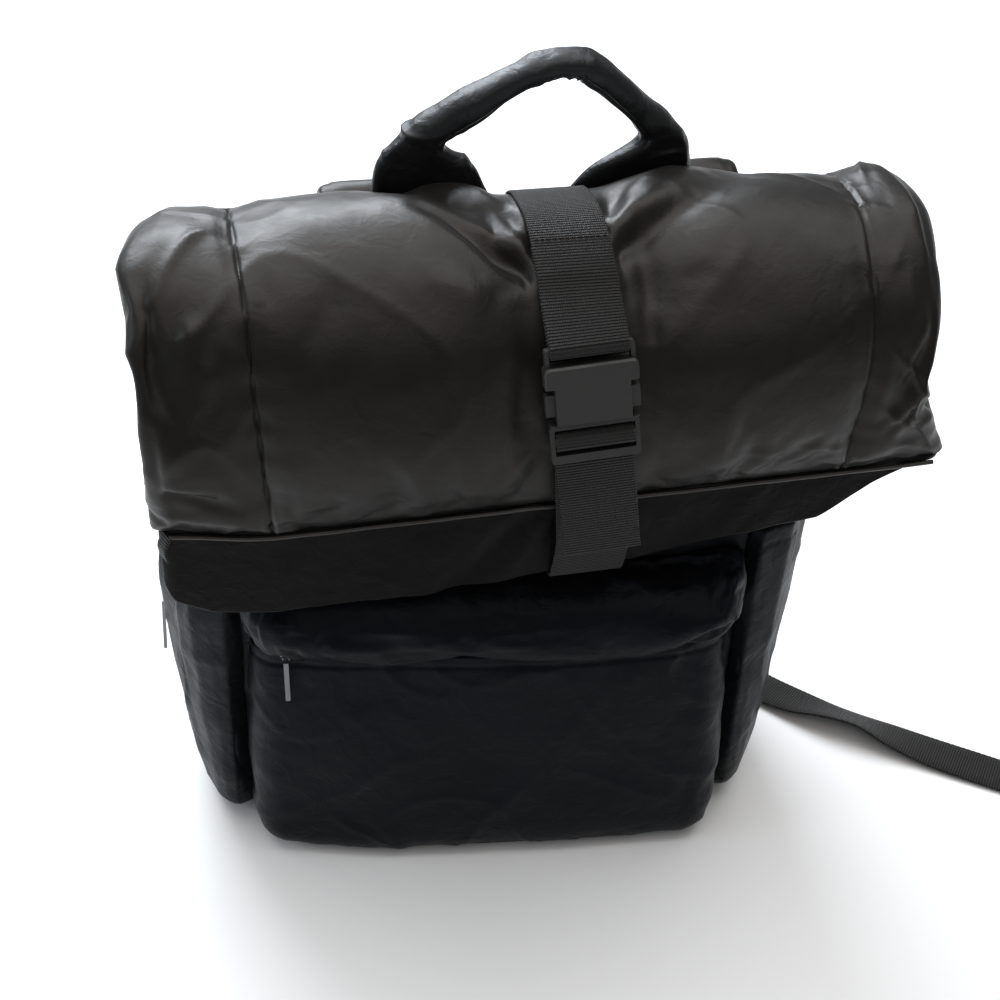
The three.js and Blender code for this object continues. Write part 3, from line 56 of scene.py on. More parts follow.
# Sizes of the bag in millimetres, as in the solids
BAG_HEIGHT, SPLIT_HEIGHT, BODY_DEPTH, BODY_WIDTH = 397, 300, 125, 314
FLAP_WIDTH, END_TUCK, SEAM_SPAN = 408, 20, 292
BODY_WALL, FLAP_WALL, SEAT_GAP = 6, 9, 0.3
TOP_TWIST, TOP_SHIFT, HEM_RISE, HEM_CURL = 5, 23, 8, 9
PANEL_PUFF, SEAM_GROOVE, STRAP_VALLEY = 5, 5, 5
STRAP_TOP_X, STRAP_HEM_X, WEB_WIDTH, WEB_THICK = 5, 16, 38, 1.6
BAND_DROP, BAND_WALL, BAND_STEP = 60, 2.5, 3.2
POCKET_WIDTH, POCKET_TOP, POCKET_FRONT = 266, 155, 84
POCKET_BULGE, POCKET_WALL, POCKET_FOOT = 6, 5, 1
ROLL_HEIGHT, ROLL_FRONT, ZIP_SLIT = 48, 93, 4
HANDLE_SPAN, HANDLE_RISE, HANDLE_TUBE, HANDLE_FOOT, HANDLE_BACK = 158, 68, 18, 374, 18

# Columns: height, front, back, half width, corner, belly, settled
BODY_ROWS = np.array([
    [0, -0.38, 0.42, 0.85, 0.2, 0, 0],
    [0.02, -0.43, 0.475, 0.895, 0.22, 0.01, 0],
    [0.06, -0.455, 0.505, 0.925, 0.22, 0.02, 0],
    [0.17, -0.46, 0.52, 0.94, 0.22, 0.03, 0],
    [0.34, -0.455, 0.528, 0.955, 0.22, 0.04, 0],
    [0.54, -0.45, 0.528, 0.98, 0.22, 0.05, 0],
    [0.72, -0.44, 0.505, 1.0, 0.22, 0.05, 0.05],
    [0.87, -0.425, 0.46, 1.03, 0.2, 0.05, 0.4],
    [1, -0.408, 0.405, 1.07, 0.18, 0.04, 0.7],
])
# Columns: front y, front rise, back y, back rise, spread, corner, tuck, pinch
TOP_ROWS = np.array([
    [-0.408, 0, 0.405, 0, 0.22, 0.18, -0.04, 0],
    [-0.4, 0.31, 0.32, 0.35, 0.42, 0.17, -0.01, 0.1],
    [-0.405, 0.46, 0.24, 0.62, 0.64, 0.16, 0.02, 0.3],
    [-0.42, 0.54, 0.14, 0.86, 0.82, 0.15, 0.04, 0.5],
    [-0.44, 0.577, -0.05, 0.98, 0.93, 0.14, 0.06, 0.75],
    [-0.464, 0.577, -0.27, 1, 0.99, 0.13, 0.06, 0.9],
    [-0.488, 0.546, -0.5, 0.88, 1, 0.12, 0.06, 1],
    [-0.504, 0.474, -0.66, 0.65, 1, 0.12, 0.06, 1],
    [-0.52, 0.35, -0.745, 0.37, 0.99, 0.12, 0.06, 1],
    [-0.528, 0.165, -0.77, 0.124, 0.98, 0.12, 0.06, 0.9],
    [-0.536, -0.04, -0.752, -0.1, 0.97, 0.11, 0.05, 0.5],
    [-0.544, -0.26, -0.704, -0.3, 0.96, 0.08, 0.03, 0.1],
])
LAST_TOP = len(TOP_ROWS) - 1
CREST_ROW, SHOULDER_ROW = 3, 6
# Columns: row, x, turn, long, wide, deep
FLAP_FOLDS = [
    (4.6, -0.25, 38, 0.17, 0.04, -1.3),
    (4.0, -0.2, 35, 0.15, 0.05, 0.9),
    (5.0, 0.42, -35, 0.2, 0.045, -1.3),
    (4.2, 0.36, -30, 0.16, 0.05, 0.9),
    (6.6, 0.45, -10, 0.2, 0.05, -0.7),
    (8.2, 0.5, 12, 0.2, 0.05, -0.5),
    (9.6, -1.2, 0, 0.12, 0.04, -1.2),
    (7.6, -1.22, 55, 0.15, 0.05, -0.8),
    (8.2, 1.22, -50, 0.15, 0.05, -1),
    (9.8, 1.25, 25, 0.12, 0.05, -0.8),
]


# Small helpers
def mix(a, b, t):
    return a + (b - a) * t


def clamp(v, low, high):
    return min(high, max(low, v))


def smooth(t):
    s = np.clip(t, 0, 1)
    return s * s * (3 - 2 * s)


def bump(t):
    return np.exp(-np.square(t))


def row_at(rows, place):
    t = clamp(place, 0, len(rows) - 1)
    i = min(int(t), len(rows) - 2)
    s = t - i
    a, b, c, d = (rows[clamp(k, 0, len(rows) - 1)] for k in (i - 1, i, i + 1, i + 2))
    return 0.5 * (2 * b + (c - a) * s + (2 * a - 5 * b + 4 * c - d) * s * s
                  + (3 * b - a - 3 * c + d) * s ** 3)


def settle(points, share):
    """Turns and pushes points (n, 3) in mm by a share, one number or one per point."""
    p = np.atleast_2d(np.asarray(points, float)).copy()
    a = np.radians(TOP_TWIST) * share
    x = p[:, 0] * np.cos(a) - p[:, 1] * np.sin(a)
    y = p[:, 0] * np.sin(a) + p[:, 1] * np.cos(a)
    p[:, 0] = x + TOP_SHIFT * share
    p[:, 1] = y
    return p


def unsettle(points, share):
    p = np.asarray(points, float).copy()
    a = -np.radians(TOP_TWIST) * share
    px = p[:, 0] - TOP_SHIFT * share
    x = px * np.cos(a) - p[:, 1] * np.sin(a)
    y = px * np.sin(a) + p[:, 1] * np.cos(a)
    p[:, 0], p[:, 1] = x, y
    return p


# Smooth seeded noise on points, for wrinkles and unevenness
def noise(points, size, seed=0):
    """Value noise from -1 to 1 at points (n, 3), with cells of a size."""
    q = np.asarray(points, float) / size + 1000.0
    base = np.floor(q).astype(np.int64)
    f = q - base
    f = f * f * (3 - 2 * f)
    total = np.zeros(len(q))
    for dx in (0, 1):
        for dy in (0, 1):
            for dz in (0, 1):
                h = ((base[:, 0] + dx) * 374761393 + (base[:, 1] + dy) * 668265263
                     + (base[:, 2] + dz) * 2147483647 + seed * 974634777) & 0xFFFFFFFF
                h = ((h ^ (h >> 13)) * 1274126177) & 0xFFFFFFFF
                h = (h ^ (h >> 16)) & 0xFFFF
                w = (np.where(dx, f[:, 0], 1 - f[:, 0]) * np.where(dy, f[:, 1], 1 - f[:, 1])
                     * np.where(dz, f[:, 2], 1 - f[:, 2]))
                total += w * (h / 32767.5 - 1)
    return total


def ridges(points, size, seed=0, sharp=1.5):
    """Creased noise, mostly 0 with narrow ridges up to 1."""
    return np.maximum(0, 1 - np.abs(noise(points, size, seed)) * 3) ** sharp


# Meshes
def get_points(obj):
    co = np.zeros(len(obj.data.vertices) * 3)
    obj.data.vertices.foreach_get("co", co)
    return co.reshape(-1, 3)


def set_points(obj, points):
    obj.data.vertices.foreach_set("co", np.asarray(points, float).ravel())
    obj.data.update()


def normals_of(obj):
    obj.data.update()
    out = np.zeros(len(obj.data.vertices) * 3)
    obj.data.vertices.foreach_get("normal", out)
    return out.reshape(-1, 3)


def new_object(name, points, faces, uv=None):
    """A mesh from points in mm. uv holds one pair in mm for each corner of each face."""
    mesh = bpy.data.meshes.new(name)
    mesh.from_pydata([tuple(p) for p in np.asarray(points, float) * MM], [], [tuple(f) for f in faces])
    if uv is not None:
        layer = mesh.uv_layers.new(name="UVMap")
        layer.data.foreach_set("uv", (np.asarray(uv, float) * MM).ravel())
    obj = bpy.data.objects.new(name, mesh)
    bpy.context.scene.collection.objects.link(obj)
    mesh.shade_smooth()
    return obj


def face_out(obj):
    import bmesh
    bm = bmesh.new()
    bm.from_mesh(obj.data)
    bmesh.ops.recalc_face_normals(bm, faces=bm.faces)
    if bm.calc_volume(signed=True) < 0:
        bmesh.ops.reverse_faces(bm, faces=bm.faces)
    bm.to_mesh(obj.data)
    bm.free()
    return obj


def loft(name, rings, loop=False, caps=True):
    """A closed mesh through rings of equal count, with UVs of lengths round and along."""
    rings = np.array(rings)
    m, n = rings.shape[:2]
    points = rings.reshape(-1, 3)
    faces, uv = [], []
    round_ = np.concatenate([[0], np.cumsum(np.linalg.norm(
        np.diff(np.vstack([rings[m // 2], rings[m // 2][:1]]), axis=0), axis=1))])
    along = np.concatenate([[0], np.cumsum(np.linalg.norm(
        np.diff(np.vstack([rings, rings[:1]]), axis=0), axis=2).mean(1))])
    for r in range(m if loop else m - 1):
        a, b = r * n, ((r + 1) % m) * n
        for i in range(n):
            j = (i + 1) % n
            faces.append((a + i, a + j, b + j, b + i))
            uv += [(round_[i], along[r]), (round_[i + 1], along[r]),
                   (round_[i + 1], along[r + 1]), (round_[i], along[r + 1])]
    if not loop and caps:
        for start in (0, (m - 1) * n):
            for i in range(n // 2 - 1):
                faces.append((start + i, start + i + 1, start + n - 2 - i, start + n - 1 - i))
                uv += [(0, 0)] * 4
    return face_out(new_object(name, points, faces, uv))


def subdivide(obj, levels=1, simple=False):
    mod = obj.modifiers.new("Smooth", "SUBSURF")
    mod.levels = mod.render_levels = levels
    mod.subdivision_type = "SIMPLE" if simple else "CATMULL_CLARK"
    mod.boundary_smooth = "PRESERVE_CORNERS"
    apply_all(obj)


def apply_all(obj):
    bpy.context.view_layer.update()
    got = bpy.data.meshes.new_from_object(obj.evaluated_get(bpy.context.evaluated_depsgraph_get()))
    obj.modifiers.clear()
    old = obj.data
    obj.data = got
    bpy.data.meshes.remove(old)
    obj.data.shade_smooth()


def dress(obj, *nodes, slot=None, fill=None):
    """obj rides on the bag and stands for these nodes."""
    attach(obj, "root")
    if nodes:
        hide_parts(*nodes)
    return obj


def puffed(obj, pin, pressure=4.0, grow=0.05, cap=0.008, frames=20, room=None, stiff=15.0):
    """Blows a closed mesh up as cloth. pin is 1 where it is held, and room scales each point's move."""
    rest = get_points(obj)
    group = obj.vertex_groups.new(name="held")
    for weight in np.unique(np.round(pin, 2)):
        if weight > 0:
            group.add(np.nonzero(np.round(pin, 2) == weight)[0].tolist(), float(weight), "REPLACE")
    mod = obj.modifiers.new("Cloth", "CLOTH")
    s = mod.settings
    s.quality = 5
    s.mass = 0.15
    s.tension_stiffness = s.compression_stiffness = stiff
    s.shear_stiffness = stiff / 3
    s.bending_stiffness = 0.3
    s.use_pressure = True
    s.uniform_pressure_force = pressure
    s.shrink_min = -grow
    s.vertex_group_mass = "held"
    s.effector_weights.gravity = 0
    mod.collision_settings.use_collision = False
    mod.collision_settings.use_self_collision = False
    scene = bpy.context.scene
    scene.frame_start, scene.frame_end = 1, frames
    mod.point_cache.frame_start, mod.point_cache.frame_end = 1, frames
    for f in range(1, frames + 1):
        scene.frame_set(f)
    got = obj.evaluated_get(bpy.context.evaluated_depsgraph_get())
    co = np.zeros(len(got.data.vertices) * 3)
    got.data.vertices.foreach_get("co", co)
    obj.modifiers.clear()
    scene.frame_set(1)
    move = co.reshape(-1, 3) - rest
    size = np.linalg.norm(move, axis=1)
    move *= (cap * np.tanh(size / cap) / np.maximum(size, 1e-9))[:, None]
    if room is not None:
        move *= np.asarray(room)[:, None]
    set_points(obj, rest + move)
    return obj


def displace(obj, amount):
    """Moves each point along its normal by an amount in mm."""
    set_points(obj, get_points(obj) + normals_of(obj) * (np.asarray(amount) * MM)[:, None])


# Materials
def shader(name, colour, roughness, **sockets):
    mat = bpy.data.materials.new(name)
    mat.use_nodes = True
    tree = mat.node_tree
    bsdf = tree.nodes["Principled BSDF"]
    bsdf.inputs["Base Color"].default_value = (*colour, 1)
    bsdf.inputs["Roughness"].default_value = roughness
    for key, value in sockets.items():
        bsdf.inputs[key.replace("_", " ")].default_value = value
    return mat, tree, bsdf


def node(tree, kind, inputs=None, **props):
    made = tree.nodes.new(kind)
    for key, value in props.items():
        setattr(made, key, value)
    for key, value in (inputs or {}).items():
        if hasattr(value, "links") or hasattr(value, "is_linked"):
            tree.links.new(value, made.inputs[key])
        else:
            made.inputs[key].default_value = value
    return made


def ramp(tree, fac, low, high, a, b):
    """Maps fac from low..high to a..b, held at the ends."""
    return node(tree, "ShaderNodeMapRange", {0: fac, 1: low, 2: high, 3: a, 4: b}).outputs[0]


def math_node(tree, op, a, b=0.0):
    return node(tree, "ShaderNodeMath", {0: a, 1: b}, operation=op).outputs[0]


def nylon(name, dark, light, roughness, tint, gloss_level, crinkle=0.35):
    """Satin nylon: a fine weave, soft crinkles and slightly uneven colour and gloss."""
    mat, tree, bsdf = shader(name, dark, roughness)
    at = node(tree, "ShaderNodeTexCoord").outputs["Object"]
    patches = node(tree, "ShaderNodeTexNoise", {"Vector": at, "Scale": 14.0, "Detail": 3.0}).outputs["Fac"]
    colour = node(tree, "ShaderNodeMix", data_type="RGBA")
    tree.links.new(ramp(tree, patches, 0.35, 0.65, 0, 1), colour.inputs[0])
    colour.inputs[6].default_value = (*dark, 1)
    colour.inputs[7].default_value = (*light, 1)
    tree.links.new(colour.outputs[2], bsdf.inputs["Base Color"])
    gloss = node(tree, "ShaderNodeTexNoise", {"Vector": at, "Scale": 60.0, "Detail": 2.0}).outputs["Fac"]
    tree.links.new(ramp(tree, gloss, 0.3, 0.7, roughness - 0.05, roughness + 0.07), bsdf.inputs["Roughness"])
    creases = node(tree, "ShaderNodeTexNoise",
                   {"Vector": at, "Scale": 85.0, "Detail": 3.0, "Roughness": 0.55, "Distortion": 0.6})
    weave = node(tree, "ShaderNodeTexNoise", {"Vector": at, "Scale": 1600.0, "Detail": 1.0})
    first = node(tree, "ShaderNodeBump", {"Strength": crinkle, "Distance": 0.002, "Height": creases.outputs["Fac"]})
    second = node(tree, "ShaderNodeBump", {"Strength": 0.12, "Distance": 0.0003,
                                           "Height": weave.outputs["Fac"], "Normal": first.outputs[0]})
    tree.links.new(second.outputs[0], bsdf.inputs["Normal"])
    bsdf.inputs["Specular IOR Level"].default_value = gloss_level
    # The specular tint colours every reflection of this nylon: a painted light colour, not a colour of the fabric.
    bsdf.inputs["Specular Tint"].default_value = (*tint, 1)
    bsdf.inputs["Sheen Weight"].default_value = 0.02
    return mat


# The tint after the roughness is each nylon's specular tint, a painted light colour in its reflections: painted warm
# light on the black, band and piping nylon, painted bluish window light on the lower nylon and the handle.
NYLON = nylon("black_nylon", (0.0036, 0.0031, 0.0028), (0.0056, 0.0048, 0.0043), 0.4, (1.0, 0.95, 0.9), 0.26, 0.22)
LOWER = nylon("blue_black_nylon", (0.0017, 0.002, 0.0028), (0.0028, 0.0032, 0.0044), 0.44, (0.8, 0.88, 1.0), 0.1, 0.5)
BAND = nylon("band_nylon", (0.0013, 0.0013, 0.0014), (0.0022, 0.0021, 0.0021), 0.42, (1.0, 0.96, 0.92), 0.06, 0.5)
HANDLE = nylon("handle_nylon", (0.0034, 0.0033, 0.0033), (0.0056, 0.0054, 0.0053), 0.42, (0.9, 0.94, 1.0), 0.34, 0.7)
PIPING = nylon("piping_nylon", (0.009, 0.0085, 0.008), (0.015, 0.0138, 0.0126), 0.36, (1.0, 0.95, 0.9), 0.5, 0.2)


def woven(name, dark, light):
    """Ribbed webbing: ribs across it and fine yarns along it, on its UVs in metres."""
    mat, tree, bsdf = shader(name, dark, 0.6)
    uv = node(tree, "ShaderNodeUVMap", uv_map="UVMap").outputs[0]
    split = node(tree, "ShaderNodeSeparateXYZ", {0: uv})
    across, along = split.outputs[0], split.outputs[1]
    wobble = node(tree, "ShaderNodeTexNoise", {"Vector": uv, "Scale": 700.0}).outputs["Fac"]
    rib = math_node(tree, "SINE", math_node(tree, "ADD", math_node(tree, "MULTIPLY", along, 2 * math.pi / 0.0016),
                                            math_node(tree, "MULTIPLY", wobble, 1.5)))
    yarn = math_node(tree, "SINE", math_node(tree, "MULTIPLY", across, 2 * math.pi / 0.0011))
    height = math_node(tree, "ADD", rib, math_node(tree, "MULTIPLY", yarn, 0.35))
    # The colour follows the rib height: painted shade in the grooves between the ribs and painted light on the rib
    # tops.
    colour = node(tree, "ShaderNodeMix", data_type="RGBA")
    tree.links.new(ramp(tree, height, -1.2, 1.2, 0, 1), colour.inputs[0])
    colour.inputs[6].default_value = (*dark, 1)
    colour.inputs[7].default_value = (*light, 1)
    tree.links.new(colour.outputs[2], bsdf.inputs["Base Color"])
    tree.links.new(node(tree, "ShaderNodeBump", {"Strength": 0.7, "Distance": 0.0004, "Height": height}).outputs[0],
                   bsdf.inputs["Normal"])
    bsdf.inputs["Sheen Weight"].default_value = 0.06
    bsdf.inputs["Specular IOR Level"].default_value = 0.25
    return mat


# Its two colours are the painted shade of the rib grooves and the painted light of the rib tops.
WEBBING = woven("black_webbing", (0.0016, 0.0014, 0.0013), (0.0078, 0.0065, 0.0057))


def plastic(name, colour, roughness):
    mat, tree, bsdf = shader(name, colour, roughness)
    at = node(tree, "ShaderNodeTexCoord").outputs["Object"]
    grain = node(tree, "ShaderNodeTexNoise", {"Vector": at, "Scale": 900.0, "Detail": 2.0}).outputs["Fac"]
    soil = node(tree, "ShaderNodeTexNoise", {"Vector": at, "Scale": 90.0, "Detail": 4.0}).outputs["Fac"]
    tree.links.new(ramp(tree, soil, 0.35, 0.7, roughness - 0.04, roughness + 0.1), bsdf.inputs["Roughness"])
    tree.links.new(node(tree, "ShaderNodeBump", {"Strength": 0.25, "Distance": 0.0002, "Height": grain}).outputs[0],
                   bsdf.inputs["Normal"])
    return mat


PLASTIC = plastic("matte_plastic", (0.0145, 0.0145, 0.0135), 0.5)
METAL, _, metal_shader = shader("dark_metal", (0.17, 0.175, 0.19), 0.35, Metallic=0.85)
THREAD, _, _ = shader("thread", (0.02, 0.018, 0.017), 0.7)


# Camera fitted to the photo
def camera():
    yaw, pitch, roll = (math.radians(v) for v in (5.42, 40.49, 1.95))
    forward = Vector((math.sin(yaw) * math.cos(pitch), math.cos(yaw) * math.cos(pitch), -math.sin(pitch)))
    right = Vector((math.cos(yaw), -math.sin(yaw), 0))
    up = right.cross(forward)
    x = math.cos(roll) * right + math.sin(roll) * up
    y = -math.sin(roll) * right + math.cos(roll) * up
    data = bpy.data.cameras.new("camera")
    data.sensor_width, data.lens = 36, 72
    data.clip_start, data.clip_end = 0.01, 20
    obj = bpy.data.objects.new("camera", data)
    obj.matrix_world = Matrix((x, y, -forward)).transposed().to_4x4()
    obj.location = Vector((-0.071, -0.8369, 0.9154))
    bpy.context.scene.collection.objects.link(obj)
    bpy.context.scene.camera = obj


camera()


# Sections of the body and of the folded top, in lengths
def body_section(place):
    z, front, back, half, corner, belly, settled = row_at(BODY_ROWS, place)
    return dict(front=np.array([front * BODY_DEPTH, z * SPLIT_HEIGHT]),
                back=np.array([back * BODY_DEPTH, z * SPLIT_HEIGHT]), half=half * BODY_WIDTH / 2,
                corner=corner * BODY_DEPTH, tuck=-belly * BODY_DEPTH,
                seam=half * BODY_WIDTH / 2 - corner * BODY_DEPTH, strap=0.0, puff=0.0,
                settled=settled, drop=0.0, pinch=0.0, place=0.0)


def top_section(place):
    front_y, front_rise, back_y, back_rise, spread, corner, tuck, pinch = row_at(TOP_ROWS, place)
    rise, foot = BAG_HEIGHT - SPLIT_HEIGHT, SPLIT_HEIGHT + SEAT_GAP
    half = mix(BODY_WIDTH / 2, FLAP_WIDTH / 2, spread)
    corner *= BODY_DEPTH
    down = max(0, (place - CREST_ROW) / (LAST_TOP - CREST_ROW))
    return dict(front=np.array([front_y * BODY_DEPTH, foot + front_rise * rise]),
                back=np.array([back_y * BODY_DEPTH, foot + back_rise * rise]), half=half, corner=corner,
                tuck=tuck * BODY_DEPTH,
                seam=min(SEAM_SPAN / 2 * mix(1.04, 0.98, place / LAST_TOP), half - corner - 6),
                strap=mix(STRAP_TOP_X, STRAP_HEM_X, down ** 2),
                puff=smooth(place / CREST_ROW) * (1 - smooth(place - LAST_TOP + 1)),
                settled=mix(BODY_ROWS[-1][6], 1, smooth(place / CREST_ROW)),
                drop=smooth((place - SHOULDER_ROW) / (LAST_TOP - SHOULDER_ROW)), pinch=pinch, place=place)


def relief(x, s):
    side = np.abs(x)
    past = np.clip((side - s["seam"]) / (s["half"] - s["seam"]), 0, 1)
    pillow = np.where(side < s["seam"], PANEL_PUFF * (1 - (x / s["seam"]) ** 4),
                      0.7 * PANEL_PUFF * np.sin(np.pi * past))
    groove = SEAM_GROOVE * bump((side - s["seam"]) / 4)
    off = np.abs(x - s["strap"])
    height = pillow - 0.6 * groove - STRAP_VALLEY * (1 - smooth((off - 26) / 40))
    for row, fx, turn, long_, wide, deep in FLAP_FOLDS:
        dx = x - fx * SEAM_SPAN / 2
        dy = (s["place"] - row) * (BAG_HEIGHT - SPLIT_HEIGHT) / 4.6
        c, q = math.cos(math.radians(turn)), math.sin(math.radians(turn))
        along = (dx * c + dy * q) / (long_ * SEAM_SPAN)
        across = (dy * c - dx * q) / (wide * SEAM_SPAN)
        height = height + deep * PANEL_PUFF * bump(along) * bump(across) * smooth((off - 24) / 12)
    return height * s["puff"]


def hem_lift(share):
    return HEM_RISE * share + HEM_CURL * smooth((-share - 0.68) / 0.32)


def ring_round(s, inset=0.0, wide=60, corner=5, far=24):
    """A ring round a section, with the flat place of each of its points and the seam's place."""
    flat_depth = np.hypot(*(s["back"] - s["front"]))
    h, w = flat_depth / 2 - inset, s["half"] - inset
    r = min(0.9 * h, max(s["corner"] - inset, 2))
    edge = w - r
    seam = min(s["seam"], edge - 7)
    # The wide face holds a point on each seam, so a seam's loop can be pinned
    count = max(4, int(round(wide * (edge - seam) / (2 * edge))))
    xs = np.concatenate([np.linspace(-edge, -seam, count + 1)[:-1],
                         np.linspace(-seam, seam, wide - 2 * count + 1)[:-1], np.linspace(seam, edge, count + 1)])
    t = dict(s, seam=seam)
    flat = [(x, h + (0 if inset > 0 else relief(x, t))) for x in xs]

    def turn(sx, start, end):
        for a in np.radians(np.linspace(start, end, corner + 2)[1:-1]):
            flat.append((sx * (edge + r * math.cos(a)), math.copysign(h - r, math.sin(a)) + r * math.sin(a)))

    def side(sx, v):
        flat.append((sx * (w - s["tuck"] * (1 - (v / h) ** 2)), v))

    turn(1, 90, 0)
    for v in np.linspace(h - r, -(h - r), 7)[1:-1]:
        side(1, v)
    turn(1, 0, -90)
    for x in np.linspace(edge, -edge, far + 1):
        flat.append((x, -h))
    turn(-1, -90, 0)
    for v in np.linspace(-(h - r), h - r, 7)[1:-1]:
        side(-1, v)
    turn(-1, 0, 90)
    flat = np.array([(float(a), float(b)) for a, b in flat])
    middle = (s["front"] + s["back"]) / 2
    outward = (s["back"] - s["front"]) / flat_depth
    x, v = flat[:, 0], flat[:, 1]
    p = np.stack([x - END_TUCK * s["pinch"] * smooth((x / s["half"] - 0.72) / 0.28),
                  middle[0] + outward[0] * v,
                  middle[1] + outward[1] * v + hem_lift(x / s["half"]) * s["drop"]], axis=1)
    return settle(p, s["settled"]), flat, seam


bpy.context.scene.view_settings.view_transform = "Standard"


# Lights and floor
def stage():
    mesh = bpy.data.meshes.new("floor")
    mesh.from_pydata([(-30, -30, 0), (30, -30, 0), (30, 30, 0), (-30, 30, 0)], [], [(0, 1, 2, 3)])
    floor = bpy.data.objects.new("floor", mesh)
    bpy.context.scene.collection.objects.link(floor)
    mat, _, _ = shader("pale_floor", (0.86, 0.865, 0.87), 0.65)
    floor.data.materials.append(mat)
    floor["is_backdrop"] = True
    world = bpy.data.worlds.new("studio")
    world.use_nodes = True
    world.node_tree.nodes["Background"].inputs[0].default_value = (0.95, 0.975, 1.0, 1)
    world.node_tree.nodes["Background"].inputs[1].default_value = 0.27
    bpy.context.scene.world = world

    def light(name, at, to, size, power, colour):
        data = bpy.data.lights.new(name, "AREA")
        data.shape, data.size, data.size_y = "RECTANGLE", size[0], size[1]
        data.energy, data.color = power, colour
        obj = bpy.data.objects.new(name, data)
        obj.location = at
        obj.rotation_euler = (Vector(to) - Vector(at)).to_track_quat("-Z", "Y").to_euler()
        bpy.context.scene.collection.objects.link(obj)

    light("overhead", (0, 0.5, 2.3), (0, 0.1, 0), (3.2, 2.4), 62, (1.0, 0.985, 0.97))
    light("window_left", (-0.5, 1.45, 1.2), (-0.08, 0, 0.36), (1.2, 0.8), 42, (0.87, 0.93, 1.0))
    light("window_side", (-1.75, -0.15, 0.95), (0, 0, 0.3), (0.8, 1.0), 7, (0.8, 0.9, 1.0))
    light("warm_ceiling", (0.1, -1.25, 2.15), (0, 0, 0.3), (2.4, 1.3), 9, (1.0, 0.92, 0.85))


stage()


# Point values that go with a mesh through its subdivision
def keep(obj, **columns):
    for name, values in columns.items():
        obj.data.attributes.new(name, "FLOAT", "POINT").data.foreach_set("value", np.asarray(values, float))


def kept(obj, name):
    out = np.zeros(len(obj.data.vertices))
    obj.data.attributes[name].data.foreach_get("value", out)
    return out


def finish_piece(obj, mat, *nodes, slot, fill=None):
    p = get_points(obj)
    p[:, 2] = np.maximum(p[:, 2], 0.0003)
    set_points(obj, p)
    obj.data.materials.clear()
    obj.data.materials.append(mat)
    for name in [a.name for a in obj.data.attributes if a.name.startswith("k_")]:
        obj.data.attributes.remove(obj.data.attributes[name])
    return dress(obj, *nodes, slot=slot, fill=fill)


def section_rings(section, outer, inner, wall, wide, corner, far):
    """Rings out and back in through a shell, with each point's flat place, seam, row, strap and kind."""
    rings, rows = [], []
    for places, inset in ((outer, 0), (inner, wall)):
        for place in places:
            s = section(place)
            p, flat, seam = ring_round(s, inset, wide, corner, far)
            n = len(p)
            back_end, front_start = wide + 1, wide + 1 + 2 * corner + 5
            kind = np.ones(n)
            kind[:back_end] = 0
            kind[front_start:front_start + far + 1] = 2
            kind[:] = kind if inset == 0 else 3
            rings.append(p)
            rows.append(np.column_stack([flat[:, 0], np.full(n, seam), np.full(n, place),
                                         np.full(n, s["strap"]), kind]))
    return rings, np.vstack(rows)


# Creases on the flap, each from its faint end to its deep one. Columns: x, place, x, place, wide, deep
FLAP_CREASES = np.array([
    [-68, 4.4, -16, 5.85, 4.2, -5.5], [-60, 4.3, -16, 5.45, 5, 3.2],
    [82, 4.4, 20, 5.75, 4.2, -5.5], [82, 4.1, 20, 5.35, 5, 3.4],
    [78, 6.3, 22, 6.1, 9, -2.4], [-74, 5.8, -46, 6.2, 6, 1.8],
    [-44, 3.7, -18, 4.7, 6, -3], [50, 3.7, 26, 4.6, 6, -3],
    [-190, 8.0, -172, 6.5, 5, 2.2], [-196, 8.7, -166, 7.1, 5, 2], [-186, 7.4, -176, 6.7, 4, -1.4],
    [-155, 9.85, -190, 9.3, 4, -3], [-168, 9.3, -194, 9.1, 4, 2], [-128, 7.2, -108, 6.2, 7, -1.5],
    [160, 9.6, 186, 9.0, 4, -2.6], [165, 8.2, 186, 7.2, 5, 1.8],
])


def creases(x, place):
    flat = np.column_stack([x, place * 21])
    total = np.zeros(len(x))
    for x1, place1, x2, place2, wide, deep in FLAP_CREASES:
        a, b = np.array([x1, place1 * 21]), np.array([x2, place2 * 21])
        t = np.clip((flat - a) @ (b - a) / ((b - a) @ (b - a)), 0, 1)
        away = np.linalg.norm(flat - a - t[:, None] * (b - a), axis=1)
        total += deep * t * (2 - t) * np.exp(-np.square(away / wide))
    return total


